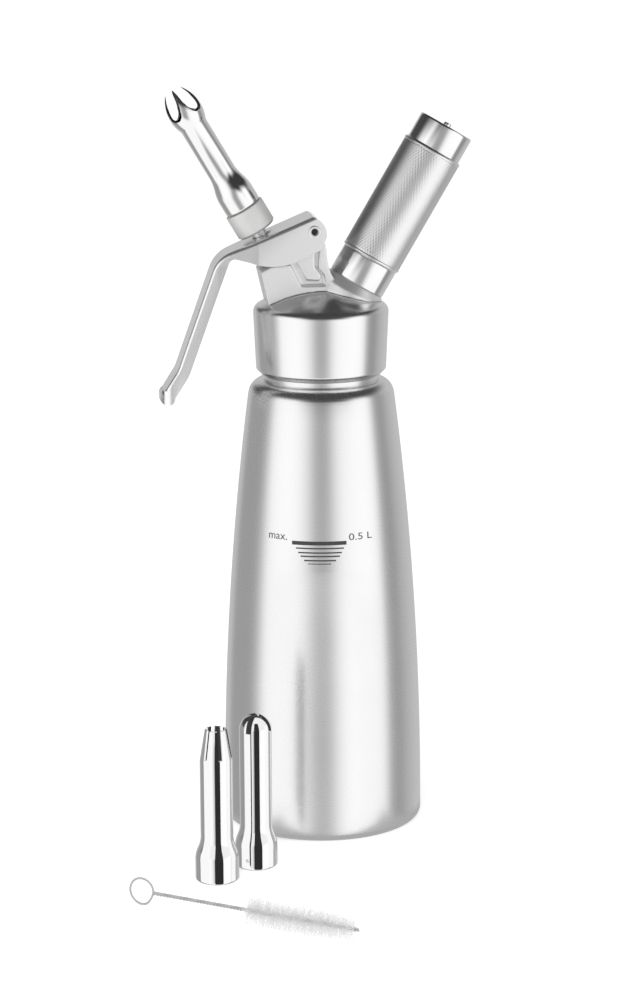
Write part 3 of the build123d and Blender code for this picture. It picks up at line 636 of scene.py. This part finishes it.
# %% [markdown]
# ## What repeats: knurling, spring, twisted wire and bristles
#
# Knurling is rolled in by two wheels and is nothing but one small pyramid, many times over. A
# spring and a twisted wire are spirals, and a brush is one hair a thousand times. Geometry Nodes
# makes such things from a few numbers. The nodes are run once and the plain mesh is kept, so
# what moves later is an ordinary mesh.

# %% Run a Geometry Nodes tree
FINISHES = (
    "bottle_steel", "head_steel", "cast_metal", "lever_steel", "adapter_metal", "bright_steel",
    "knurled_steel", "pin_steel", "brass", "cartridge_steel", "seal_rubber", "gasket_silicone",
    "dark_plastic", "brush_wire", "bristle", "print_ink", "bore_shade_steel",
)
finishes = {name: bpy.data.materials.new(name) for name in FINISHES}


def grown(piece, finish, numbers, build):
    """Runs a tree that build makes, with named numbers as its inputs, and keeps its mesh."""
    group = bpy.data.node_groups.new(piece.name, "GeometryNodeTree")
    group.interface.new_socket("Geometry", in_out="INPUT", socket_type="NodeSocketGeometry")
    group.interface.new_socket("Geometry", in_out="OUTPUT", socket_type="NodeSocketGeometry")
    for label, number in numbers.items():
        kind = "NodeSocketInt" if isinstance(number, int) else "NodeSocketFloat"
        group.interface.new_socket(label, in_out="INPUT", socket_type=kind)
    tree = Tree(group)
    shapes = build(tree, tree.add("NodeGroupInput"))
    real = tree.add("GeometryNodeRealizeInstances", values={"Geometry": shapes})
    painted = tree.add("GeometryNodeSetMaterial", values={
        "Geometry": real["Geometry"], "Material": finishes[finish],
    })
    tree.add("NodeGroupOutput", values={"Geometry": painted["Geometry"]})
    modifier = piece.modifiers.new("nodes", "NODES")
    modifier.node_group = group
    for item in group.interface.items_tree:
        if item.in_out == "INPUT" and item.name in numbers:
            modifier[item.identifier] = numbers[item.name]
    settle(piece)
    bpy.data.node_groups.remove(group)
    return piece


def put(piece, line):
    """Moves a mesh made round the world's z axis on to a centre line."""
    place = line.copy()
    place.translation *= MM
    piece.data.transform(place)
    shade(piece.data)


def empty_piece(name):
    """A piece with nothing in it yet, for a tree that starts from nothing."""
    return as_object(name, bpy.data.meshes.new(name))


def placed(tree, shape, count, position, angles, scale=None):
    """Copies of a shape on points, each turned by three angles."""
    points = tree.add("GeometryNodePoints", values={"Count": count, "Position": position})
    turn = tree.add("FunctionNodeEulerToRotation", values={"Euler": angles})
    values = {"Points": points[0], "Instance": shape, "Rotation": turn["Rotation"]}
    if scale is not None:
        values["Scale"] = scale
    return tree.add("GeometryNodeInstanceOnPoints", values=values)["Instances"]


def vector(tree, x, y, z):
    return tree.add("ShaderNodeCombineXYZ", values={"X": x, "Y": y, "Z": z})["Vector"]


print("finishes", len(finishes))

# %% [markdown]
# The grip's teeth are four-sided pyramids, twice as long as wide. Every second row is shifted by
# half a tooth, so their edges join into two sets of crossing grooves. They stand on a plain
# sleeve with a smooth rim at each end, which is what the knurling wheel leaves there.

# %% Knurled grip
def teeth(tree, given):
    """Pyramids in rows round a sleeve, with every second row shifted."""
    number = tree.add("GeometryNodeInputIndex")["Index"]
    rounds = number / given["Around"]
    row = rounds.maths("FLOOR", rounds)
    shift = row.maths("MODULO", row, 2) * 0.5
    angle = (number + shift) * (2 * pi) / given["Around"]
    height = given["Lowest"] + row * given["Row pitch"]
    root = given["Root radius"]
    x, y = angle.maths("COSINE", angle) * root, angle.maths("SINE", angle) * root
    tooth = tree.add(
        "GeometryNodeMeshCone", {"fill_type": "NGON"},
        {"Vertices": 4, "Radius Top": 0.0, "Radius Bottom": 1.0, "Depth": given["Tooth height"]},
    )
    overlap = 1.02
    size = vector(tree, given["Row pitch"], root * pi / given["Around"] * overlap, 1.0)
    rows = placed(
        tree, tooth["Mesh"], given["Around"] * given["Rows"], vector(tree, x, y, height),
        vector(tree, 0.0, pi / 2, angle), size,
    )
    joined = tree.add("GeometryNodeJoinGeometry")
    tree.join(joined.node.inputs[0], given["Geometry"])
    tree.join(joined.node.inputs[0], rows)
    return joined["Geometry"]


grip_radius, grip_root = 12.2, 11.9
grip_rim = [       # radius, height above the grip's end, and rounding
    (tube_radius + slip, 0), (ring_radius, 0, 0.15), (grip_radius, 0.6, 0.1),
    (grip_radius, 1.2, 0.1), (grip_root, 1.5),
]
lower_rim = [(radius, sleeve_start + height, *rest) for radius, height, *rest in grip_rim]
upper_rim = [(radius, sleeve_end - height, *rest) for radius, height, *rest in grip_rim]
grip = turned("knurled_grip", upright_line, rounded(lower_rim + upper_rim[::-1]))
grown(grip, "knurled_steel", {
    "Around": 60, "Rows": 42, "Lowest": 13.15 * MM, "Row pitch": 1.09 * MM,
    "Root radius": grip_root * MM, "Tooth height": 0.18 * MM,
}, teeth)
put(grip, holder_line)
print("grip", len(grip.data.polygons), "faces")

# %% [markdown]
# A coil is a spiral curve with a round wire swept along it. One strand makes the return spring.
# Two strands, half a turn apart, make the brush's twisted stem.

# %% Coils
def coil(tree, given):
    """Round wire swept along a spiral, once for each strand."""
    spiral = tree.add("GeometryNodeCurveSpiral", values={
        "Resolution": given["Steps a turn"], "Rotations": given["Turns"], "Height": given["Height"],
        "Start Radius": given["Coil radius"], "End Radius": given["Coil radius"],
    })
    wire = tree.add("GeometryNodeCurvePrimitiveCircle", values={
        "Resolution": 10, "Radius": given["Wire radius"],
    })
    strand = tree.add("GeometryNodeCurveToMesh", values={
        "Curve": spiral["Curve"], "Profile Curve": wire["Curve"], "Fill Caps": True,
    })
    number = tree.add("GeometryNodeInputIndex")["Index"]
    angles = vector(tree, 0.0, 0.0, number * (2 * pi) / given["Strands"])
    return placed(tree, strand["Mesh"], given["Strands"], (0.0, 0.0, 0.0), angles)


spring_start, spring_wire = 32.5, 0.45       # along the valve's line, and its radius
spring = grown(empty_piece("return_spring"), "pin_steel", {
    "Steps a turn": 48, "Turns": 4.5, "Height": 9.1 * MM, "Coil radius": 4.2 * MM,
    "Wire radius": spring_wire * MM, "Strands": 1,
}, coil)
put(spring, lifted(valve_line, spring_start))

brush_turn, brush_place = radians(-34.8), (-82.2, -98.0, 5.5)
stem_start = 5.2           # from the middle of the brush's eye
brush_way = Vector((cos(brush_turn), sin(brush_turn), 0))
brush_side = Vector((0, 0, 1)).cross(brush_way)
brush_line = Matrix((Vector((0, 0, 1)), -brush_side, brush_way)).transposed().to_4x4()
brush_line.translation = brush_place
stem = grown(empty_piece("twisted_stem"), "brush_wire", {
    "Steps a turn": 16, "Turns": 30.0, "Height": 85.0 * MM, "Coil radius": 0.4 * MM,
    "Wire radius": 0.38 * MM, "Strands": 2,
}, coil)
put(stem, lifted(brush_line, stem_start))
print("spring", len(spring.data.polygons), "stem", len(stem.data.polygons), "faces")

# %% [markdown]
# The stem starts as one wire bent into an eye. The eye is nearly round, and its lower side runs
# a little straighter into the twist, as hand-bent wire does.

# %% Eye of the brush
def bent_wire(name, points, radius):
    """A closed loop of round wire through points, as a mesh."""
    curve = bpy.data.curves.new(name, "CURVE")
    curve.dimensions, curve.bevel_depth, curve.bevel_resolution = "3D", radius * MM, 3
    spline = curve.splines.new("POLY")
    spline.points.add(len(points) - 1)
    for target, point in zip(spline.points, points):
        target.co = (*(Vector(point) * MM), 1)
    spline.use_cyclic_u = True
    bent = as_object(name, curve)
    mesh = plain_mesh(bent)
    bpy.data.objects.remove(bent)
    bpy.data.curves.remove(curve)
    return as_object(name, mesh)


eye_radius, eye_wire, eye_count = 5.05, 0.42, 72
flat_depth, flat_angle, flat_power = 0.55, 0.5, 6      # the straighter side
eye_points = []
for number in range(eye_count):
    angle = 2 * pi * number / eye_count
    reach = eye_radius - flat_depth * max(0.0, cos(angle + flat_angle)) ** flat_power
    eye_points.append((reach * sin(angle), 0, reach * cos(angle)))
eye_ring = bent_wire("brush_eye", eye_points, eye_wire)
put(eye_ring, brush_line)
print("eye", len(eye_ring.data.polygons), "faces")

# %% [markdown]
# The hairs are caught between the two wires while these are twisted, so they stand in a
# double spiral and splay a little. The last ones are cut shorter, which rounds the brush's tip.

# %% Bristles
def hairs(tree, given):
    """Straight hairs along a stem, in a double spiral with some chance in it."""
    number = tree.add("GeometryNodeInputIndex")["Index"]

    def chance(offset):
        """A random number from 0 to 1 for each hair, a different one for each offset."""
        spot = number * 0.37 + (given["Seed"] + offset)
        noise = tree.add("ShaderNodeTexWhiteNoise", {"noise_dimensions": "1D"}, {"W": spot})
        return noise["Value"]

    along = (number + chance(11)) / given["Count"]
    height = given["First"] + (given["Last"] - given["First"]) * along
    side = number.maths("MODULO", number, 2) * pi
    angle = height / given["Twist pitch"] * (2 * pi) + side + (chance(23) - 0.5) * given["Splay"]
    lean = (chance(37) - 0.5) * 0.24 + pi / 2
    full_length = given["Length"] - along.step_up(0.6, 1.0) * given["Shorter"]
    length = full_length * (chance(53) * 0.06 + 0.94)
    hair = tree.add("GeometryNodeMeshCone", {"fill_type": "NGON"}, {
        "Vertices": 5, "Radius Top": given["Hair radius"], "Radius Bottom": given["Hair radius"],
        "Depth": 1.0,
    })
    return placed(
        tree, hair["Mesh"], given["Count"], vector(tree, 0.0, 0.0, height),
        vector(tree, 0.0, lean, angle), vector(tree, 1.0, 1.0, length),
    )


bristles = grown(empty_piece("brush_hairs"), "bristle", {
    "Count": 3700, "First": 44.6 * MM, "Last": 88.6 * MM, "Twist pitch": 5.6 * MM, "Splay": 3.1,
    "Length": 5.35 * MM, "Shorter": 1.0 * MM, "Hair radius": 0.058 * MM, "Seed": 5,
}, hairs)
put(bristles, brush_line)
print("hairs", len(bristles.data.polygons), "faces")

# %% [markdown]
# ## Casting and lever
#
# The valve body is cast and then blasted, so every edge of it is soft. Its mesh comes from the
# CAD solid: a copy is rebuilt from small even cells and smoothed a little, which rounds edges
# the way a mould does. The lever is bent from sheet, whose edges stay crisp, so its copy only
# gets its triangles joined and its shading set by angle.

# %% Valve body and lever
def copy_of(node, name, merge=1e-6):
    """A copy of a CAD node's mesh with its loose triangles joined."""
    work = bmesh.new()
    work.from_mesh(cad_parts[node].data)
    bmesh.ops.remove_doubles(work, verts=work.verts, dist=merge)
    return poured(name, work)


casting = copy_of("valve_body", "valve_casting")
cells = casting.modifiers.new("cells", "REMESH")
cells.mode, cells.voxel_size, cells.adaptivity = "VOXEL", 0.36 * MM, 0.0
soften = casting.modifiers.new("soften", "SMOOTH")
soften.factor, soften.iterations = 0.5, 5
settle(casting)
casting.data.shade_smooth()
print("casting", len(casting.data.polygons), "faces")

squeeze = copy_of("lever", "squeeze_lever", 1e-5)
dissolved = squeeze.modifiers.new("flats", "DECIMATE")
dissolved.decimate_type, dissolved.angle_limit = "DISSOLVE", radians(0.3)
even = squeeze.modifiers.new("even", "WEIGHTED_NORMAL")
even.keep_sharp = True
shade(squeeze.data, 28)
settle(squeeze)
print("lever", len(squeeze.data.polygons), "faces")

# %% [markdown]
# ## Fill mark
#
# A grey mark is printed on the side: one thick line at the highest level of cream, five thin
# ones below it, and plain words beside it. Ink has almost no thickness, so each stroke is a
# thin strip laid on the bottle's own curve.

# %% Printing on the bottle
ink_thickness = 0.03


def printed(name, work):
    """Bends a flat drawing (turn in degrees, height) round the bottle's side."""
    for vert in work.verts:
        turn, height, _ = vert.co
        reach, angle = side_radius(height, *outer_side) + ink_thickness, radians(turn)
        vert.co = (reach * sin(angle) * MM, -reach * cos(angle) * MM, height * MM)
    return poured(name, work)


def strip(work, left, right, low, high, count=24):
    """Draws a bar, in enough parts to bend well."""
    rows = []
    for number in range(count + 1):
        turn = left + (right - left) * number / count
        rows.append((work.verts.new((turn, low, 0)), work.verts.new((turn, high, 0))))
    for (a, b), (c, d) in zip(rows, rows[1:]):
        work.faces.new((a, c, d, b))


def word(text, left, right, low, high):
    """A word as a flat mesh that fills a box given in degrees and height."""
    curve = bpy.data.curves.new("word", "FONT")
    curve.body, curve.resolution_u = text, 3
    made = as_object("word", curve)
    mesh = plain_mesh(made)
    bpy.data.objects.remove(made)
    work = bmesh.new()
    work.from_mesh(mesh)
    bmesh.ops.triangulate(work, faces=work.faces)
    xs, ys = [v.co.x for v in work.verts], [v.co.y for v in work.verts]
    for vert in work.verts:
        vert.co.x = left + (right - left) * (vert.co.x - min(xs)) / (max(xs) - min(xs))
        vert.co.y = low + (high - low) * (vert.co.y - min(ys)) / (max(ys) - min(ys))
        vert.co.z = 0
    return work


# Each bar from its left to its right end in degrees, then its lower and upper edge.
marks = bmesh.new()
LINES = (
    (-27.5, 8.1, 120.15, 121.65), (-24.7, 6.3, 118.6, 119.15), (-23.2, 4.9, 116.9, 117.45),
    (-21.6, 3.6, 115.5, 116.05), (-19.3, 1.0, 113.85, 114.4), (-16.8, -2.2, 112.65, 113.0),
)
for line in LINES:
    strip(marks, *line)
fill_lines = printed("fill_lines", marks)
fill_words = [
    printed("fill_word_max", word("max.", -44.5, -31.0, 121.7, 123.8)),
    printed("fill_word_volume", word("0.5 L", 9.8, 26.5, 121.7, 124.4)),
]
print("print", [piece.name for piece in (fill_lines, *fill_words)])

# %% [markdown]
# ## Finishes
#
# Every finish has the same make-up, a base metal or plastic, fine turning lines round its own
# axis, and a grain. The lines come from noise of one number, the distance along the axis, so
# they stay rings however the piece leans. Both change roughness, tone and relief by a little.
# A mirror-polished nozzle gets almost none of it and a cast part gets a lot.

# %% One function for all finishes
def grey(value):
    """A grey as a colour with its opacity."""
    return (value, value, value, 1)


def surface(name, colour, roughness, metallic=1.0, axis=None, lines=6000, grain=3000, spread=0.05,
            tone=0.06, relief=0.002, **fixed):
    """Fills a material.

    axis is the way its turning lines go round, lines and grain are per metre, spread and tone
    say how much roughness and colour vary, and relief is in millimetres."""
    tree = empty_tree(finishes[name])
    place = tree.add("ShaderNodeTexCoord")["Object"]

    def noise(scale, detail):
        values = {"Vector": place, "Scale": scale, "Detail": detail}
        return tree.add("ShaderNodeTexNoise", values=values)[0]

    marks = noise(grain, 3.0)
    if axis is not None:
        along = tree.add(
            "ShaderNodeVectorMath", {"operation": "DOT_PRODUCT"}, {0: place, 1: tuple(axis)}
        )["Value"]
        ring = tree.add(
            "ShaderNodeTexNoise", {"noise_dimensions": "1D"},
            {"W": along, "Scale": lines, "Detail": 4.0},
        )[0]
        marks = ring * 0.5 + marks * 0.5
    uneven = marks * 0.7 + noise(60.0, 2.0) * 0.3
    darker = tuple(c * (1 - tone) for c in colour[:3]) + (1,)
    lighter = tuple(min(1, c * (1 + tone)) for c in colour[:3]) + (1,)
    bump = tree.add("ShaderNodeBump", values={
        "Strength": 1.0, "Distance": relief * MM, "Height": marks,
    })
    shader = tree.add("ShaderNodeBsdfPrincipled", values={
        "Metallic": metallic,
        "Roughness": (uneven - 0.5) * spread * 2 + roughness,
        "Base Color": tree.blend(uneven, darker, lighter),
        "Normal": bump["Normal"],
        **fixed,
    })
    tree.add("ShaderNodeOutputMaterial", values={"Surface": shader["BSDF"]})


valve_axis, charger_axis = valve_line.col[2].xyz, charger_line.col[2].xyz
upright, across = Vector((0, 0, 1)), Vector((0, 1, 0))
steel = grey(0.86)
brushed = {"axis": upright, "lines": 5000, "spread": 0.03, "relief": 0.0012}
surface("bottle_steel", steel, 0.27, **brushed)
surface("head_steel", steel, 0.24, **brushed)
surface("cast_metal", grey(0.84), 0.38, metallic=0.85, grain=2500, spread=0.06, tone=0.04,
        relief=0.008)
surface("lever_steel", grey(0.88), 0.25, metallic=0.93, grain=5000, tone=0.03, relief=0.0015)
surface("adapter_metal", (0.6, 0.6, 0.59), 0.5, metallic=0.5, axis=valve_axis, lines=7000,
        relief=0.004)
surface("bright_steel", steel, 0.07, grain=1500, spread=0.03, tone=0.02, relief=0.0002)
surface("knurled_steel", steel, 0.3, axis=charger_axis, lines=4000, relief=0.001)
# Near-black steel: painted shade for the insides of bores and the middle of the pin's recess.
surface("bore_shade_steel", grey(0.05), 0.5, grain=2500, spread=0.06, tone=0.1, relief=0.004)
surface("pin_steel", grey(0.95), 0.45, axis=across, lines=4000, relief=0.001)
surface("brass", (0.78, 0.6, 0.32), 0.25, axis=charger_axis, lines=4000, relief=0.001)
surface("cartridge_steel", (0.7, 0.71, 0.73), 0.3, axis=charger_axis, lines=3000, tone=0.1)
surface("brush_wire", grey(0.5), 0.28, grain=4000, relief=0.001)
print("metals filled")

# %% [markdown]
# Rubber, plastic and the hairs aren't metals. The hairs are clear nylon, so light passes through
# them and the brush looks like a pale haze. The ink is matt, and thin enough for the steel's
# grain to show in it.

# %% Plastics, rubber, hairs and ink
surface("seal_rubber", grey(0.03), 0.6, metallic=0.0, grain=4000, relief=0.01, tone=0.2)
surface("gasket_silicone", (0.72, 0.72, 0.7), 0.5, metallic=0.0, relief=0.005)
surface("dark_plastic", (0.1, 0.1, 0.11), 0.45, metallic=0.0, relief=0.005)
surface("bristle", grey(0.95), 0.35, metallic=0.0, grain=2000, tone=0.03, relief=0.0005,
        Alpha=0.33)
surface("print_ink", grey(0.035), 0.5, metallic=0.0, grain=6000, tone=0.3, relief=0.001)
print("plastics filled")

# %% [markdown]
# ## What stands for what
#
# The last list says which CAD solid each piece stands for, which body it moves with and which
# finish it has. Solids that keep their CAD shape, mostly hidden seals and the parts inside, only
# get a finish. The faces inside the nozzles' bores and the middle of the recess in the pin's head
# are painted dull and dark: painted shade, where the inside of a hole lies in shadow. The return
# spring, which is squashed when the valve is pressed, gets a copy of its mesh as its own.

# %% Rides, replacements and finishes
WORN = (
    (bottle, "bottle", ["bottle"], "bottle_steel"),
    (fill_lines, "bottle", [], "print_ink"),
    (fill_words[0], "bottle", [], "print_ink"),
    (fill_words[1], "bottle", [], "print_ink"),
    (head, "head", ["head_cap"], "head_steel"),
    (casting, "head", ["valve_body"], "cast_metal"),
    (squeeze, "lever", ["lever"], "lever_steel"),
    (hinge_pin, "head", ["lever_pin"], "pin_steel"),
    (spring, "head", ["valve_spring"], "pin_steel"),
    (adapter, "valve", ["nozzle_adapter"], "adapter_metal"),
    (tulip, "nozzle", ["tulip_nozzle"], "bright_steel"),
    (holder_ring, "charger_holder", ["holder_tube"], "bright_steel"),
    (grip, "charger_holder", ["knurled_sleeve"], "knurled_steel"),
    (holder_cap, "charger_holder", ["holder_end_cap"], "bright_steel"),
    (vent_nub, "charger_holder", ["vent_plug"], "bright_steel"),
    (cone, "cone_nozzle", ["cone_nozzle"], "bright_steel"),
    (dome_nozzle, "dome_nozzle", ["dome_nozzle"], "bright_steel"),
    (stem, "brush", ["brush_wire"], "brush_wire"),
    (eye_ring, "brush", [], "brush_wire"),
    (bristles, "brush", ["brush_bristles"], "bristle"),
)
KEPT = {
    "pin_steel": ["pin_clip", "valve_stem", "spring_cap", "piercing_pin"],
    "brass": ["valve_seat", "charger_connector"],
    "cartridge_steel": ["gas_cartridge"],
    "seal_rubber": ["seat_seal", "stem_oring", "charger_seal", "nozzle_washer"],
    "gasket_silicone": ["head_gasket"],
    "dark_plastic": ["check_valve"],
}
for piece, body, nodes, finish in WORN:
    piece.data.materials.clear()
    piece.data.materials.append(finishes[finish])
    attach(piece, body)
    if nodes:
        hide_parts(*nodes)
    finish != "print_ink"
for finish, nodes in KEPT.items():
    for node in nodes:
        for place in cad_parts[node].material_slots:
            place.material = finishes[finish]
print("dressed", len(WORN), "pieces, kept", sum(len(nodes) for nodes in KEPT.values()), "nodes")

# %% Bores with painted shade, and the spring's own mesh
# Where the painted shade in the middle of the pin's head recess lies.
recess_shade_radius, recess_shade_start = 0.95, 10.0         # of the recess in the pin's head


def paint_bore_shade(piece, line, is_inside):
    """Paints some faces of a piece dull and dark: painted shade inside a bore or a recess.

    is_inside is asked with a face's centre and normal, both seen along the centre line."""
    piece.data.materials.append(finishes["bore_shade_steel"])
    local = line.copy()
    local.translation *= MM
    local.invert()
    count = 0
    for face in piece.data.polygons:
        if is_inside(local @ face.center, local.to_3x3() @ face.normal):
            face.material_index = 1
            count += 1
    print(piece.name, "has", count, "dull faces")


def faces_axis(centre, normal):
    """Whether a face looks towards the centre line more than past it."""
    return normal.x * centre.x + normal.y * centre.y < -0.3 * hypot(centre.x, centre.y)


def in_recess(centre, normal):
    """Whether a face of the pin lies in the middle of its head's recess."""
    return hypot(centre.x, centre.y) < recess_shade_radius * MM and centre.z > recess_shade_start * MM


# The inside of each nozzle's bore gets painted shade.
for piece, line in ((tulip, tulip_line), (cone, cone_line), (dome_nozzle, dome_line)):
    paint_bore_shade(piece, line, faces_axis)
paint_bore_shade(hinge_pin, pin_line, in_recess)

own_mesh(spring)

# %% [markdown]
# ## The studio
#
# Polished steel shows its surroundings and little else, so the surroundings are drawn: a table
# of brightness round the horizon, with a black card in front, grey wings at the sides and white
# screens between them. Above it is dark, which gives the dome and every upper edge a dark line,
# and below it is white paper. Only reflections see this table. The camera sees plain white, and
# matt things get an even light. Each line that blends adds one of these, over an area given in
# degrees round from the front and degrees above the horizon.

# %% What the steel reflects
# Degrees round from the front, positive to the right, and brightness as a screen value.
ROUND = (
    (-180, 185), (-150, 185), (-146, 150), (-122, 150), (-104, 144), (-96, 160), (-89, 200),
    (-82, 246), (-56, 252), (-42, 250), (-32, 238), (-25, 218), (-18, 176), (-13, 158), (-3, 158),
    (2, 172), (8, 212), (14, 236), (22, 248), (46, 252), (66, 252),
    (72, 240), (79, 150), (94, 136), (110, 170), (134, 185), (180, 185),
)


def linear(value):
    """A screen value from 0 to 255 as an amount of light."""
    share = value / 255
    return ((share + 0.055) / 1.055) ** 2.4


def banded(tree, position, rows, low, high):
    """A brightness looked up in a table by position."""
    ramp = tree.add("ShaderNodeValToRGB", values={"Fac": (position - low) / (high - low)})
    stops = ramp.node.color_ramp.elements
    while len(stops) < len(rows):
        stops.new(0.5)
    for stop, (spot, _) in zip(stops, rows):
        stop.position = (spot - low) / (high - low)
    for stop, (_, value) in zip(stops, rows):
        stop.color = grey(linear(value))
    return ramp["Color"]


world = bpy.data.worlds.new("studio")
bpy.context.scene.world = world
sky = empty_tree(world)
ray = sky.add("ShaderNodeTexCoord")["Generated"]
part = sky.add("ShaderNodeSeparateXYZ", values={"Vector": ray})
bearing_seen = part["X"].maths("ARCTAN2", part["X"], 0 - part["Y"]) * degrees(1)
height_seen = part["Z"].maths("ARCSINE", part["Z"]) * degrees(1)
around = banded(sky, bearing_seen, ROUND, -180, 180)
print("studio table has", len(ROUND), "rows")

# %% Paper below, dark above
bright = sky.add(
    "ShaderNodeVectorMath", {"operation": "SCALE"}, {0: around, "Scale": 1.2}
)["Vector"]
low = 1 - height_seen.step_up(-36, -22)
not_far_left = 1 - (0 - bearing_seen).step_up(85, 112)
not_far_right = 1 - bearing_seen.step_up(50, 80)
lit = sky.blend(low * not_far_left * not_far_right, bright, grey(1.1))
back_left = bearing_seen.step_up(-172, -150) * (1 - bearing_seen.step_up(-112, -90))
lit = sky.blend(back_left * height_seen.step_up(3, 16), lit, grey(0.07))
aside = bearing_seen.maths("ABSOLUTE", bearing_seen)
ahead = (1 - aside.step_up(25, 55)) * height_seen.step_up(6, 26)
lit = sky.blend(ahead, lit, grey(0.05))
lit = sky.blend(height_seen.step_up(21, 40), lit, grey(0.045))

paths = sky.add("ShaderNodeLightPath")
seen = sky.blend(paths["Is Glossy Ray"], grey(0.75), lit)
seen = sky.blend(paths["Is Camera Ray"], seen, grey(1.0))
background = sky.add("ShaderNodeBackground", values={"Color": seen, "Strength": 1.0})
sky.add("ShaderNodeOutputWorld", values={"Surface": background["Background"]})
print("studio lit")

# %% [markdown]
# The floor is white paper that glows a little for the camera, so that it comes out white but
# still takes the contact shadows. Two soft lamps, high at the left and low at the right, give
# those shadows their direction. Reflections don't see lamps or floor, nor the small pieces
# beside the bottle, which would otherwise draw dark lines on its foot.

# %% Floor and lamps
paper = bpy.data.materials.new("paper")
tree = empty_tree(paper)
place = tree.add("ShaderNodeTexCoord")["Object"]
fibre = tree.add("ShaderNodeTexNoise", values={"Vector": place, "Scale": 300.0})[0]
shader = tree.add("ShaderNodeBsdfPrincipled", values={
    "Base Color": grey(0.8), "Roughness": fibre * 0.1 + 0.85,
    "Emission Color": grey(1.0), "Emission Strength": 0.44,
})
tree.add("ShaderNodeOutputMaterial", values={"Surface": shader["BSDF"]})

work = bmesh.new()
bmesh.ops.create_grid(work, x_segments=1, y_segments=1, size=12.0)
floor = poured("floor", work)
floor.data.materials.append(paper)
floor.visible_glossy = False
for piece in (cone, dome_nozzle, stem, eye_ring, bristles):
    piece.visible_glossy = False


def lamp(name, place, aim, size, power):
    """A round soft lamp, turned towards a point."""
    data = bpy.data.lights.new(name, "AREA")
    data.shape, data.size, data.energy = "DISK", size, power
    made = bpy.data.objects.new(name, data)
    made.visible_glossy = False
    made.visible_camera = False
    turn = (Vector(aim) - Vector(place)).to_track_quat("-Z", "Y")
    made.matrix_world = Matrix.Translation(place) @ turn.to_matrix().to_4x4()
    bpy.context.scene.collection.objects.link(made)


lamp("key", (-0.7, -1.6, 1.0), (0, 0, 0.15), 1.0, 18.0)
lamp("fill", (1.2, -0.6, 0.8), (0, 0, 0.1), 0.8, 2.0)
print("floor and lamps ready")

# %% [markdown]
# A product photographer holds small cards beside small mirrors. A black strip stands just in
# front of each spare nozzle and draws its dark centre line. White cards stand left, right and
# above and fill the rest. A grey one lies under the bottle as a painted reflection of the
# shadowed floor there, and darkens the bottle's lowest edge. Only reflections see the cards, and
# only from their front, so what is behind them isn't changed.

# %% Cards
def card(name, corners, brightness):
    """A glowing sheet through four corners, in millimetres, that is clear from its back."""
    glow = bpy.data.materials.new(name)
    tree = empty_tree(glow)
    shine = tree.add("ShaderNodeEmission", values={"Color": grey(1.0), "Strength": brightness})
    clear = tree.add("ShaderNodeBsdfTransparent")
    back = tree.add("ShaderNodeNewGeometry")["Backfacing"]
    both = tree.add("ShaderNodeMixShader", values={0: back, 1: shine["Emission"], 2: clear["BSDF"]})
    tree.add("ShaderNodeOutputMaterial", values={"Surface": both["Shader"]})
    mesh = bpy.data.meshes.new(name)
    mesh.from_pydata([Vector(corner) * MM for corner in corners], [], [(0, 1, 2, 3)])
    mesh.materials.append(glow)
    made = as_object(name, mesh)
    made.visible_camera = made.visible_diffuse = False
    made.visible_shadow = made.visible_transmission = False


strip_gap, strip_half, strip_low, strip_high = 9.8, 2.3, -6, 66
for name, line in (("strip_cone", cone_line), ("strip_dome", dome_line)):
    x, y = line.translation.x, line.translation.y - strip_gap
    left, right_end = x - strip_half, x + strip_half
    card(name, [
        (right_end, y, strip_low), (left, y, strip_low), (left, y, strip_high),
        (right_end, y, strip_high),
    ], 0.03)


def wall_card(name, x, start, end):
    """A bright upright card that glows to the right of the way from start to end."""
    low, high = -60, 90
    card(name, [(x, start, low), (x, end, low), (x, end, high), (x, start, high)], 1.1)


def level_card(name, corners, height, brightness):
    """A flat card that glows upwards where its corners go round to the left."""
    card(name, [(x, y, height) for x, y in corners], brightness)


wall_card("right_card", 60, -50, -110)
wall_card("left_card", -130, -150, -60)
level_card("upper_card", [(-400, -46), (400, -46), (800, -1500), (-900, -1500)], 110, 1.0)
# Grey card under the bottle: a painted reflection of the shadowed floor round its foot.
level_card("floor_shade_card", [(-48, -48), (48, -48), (48, 48), (-48, 48)], -1, 0.45)
print("cards ready")

# %% [markdown]
# ## The end
#
# The colours are shown through the Standard view transform.

# %% Finish
bpy.context.scene.view_settings.view_transform = "Standard"
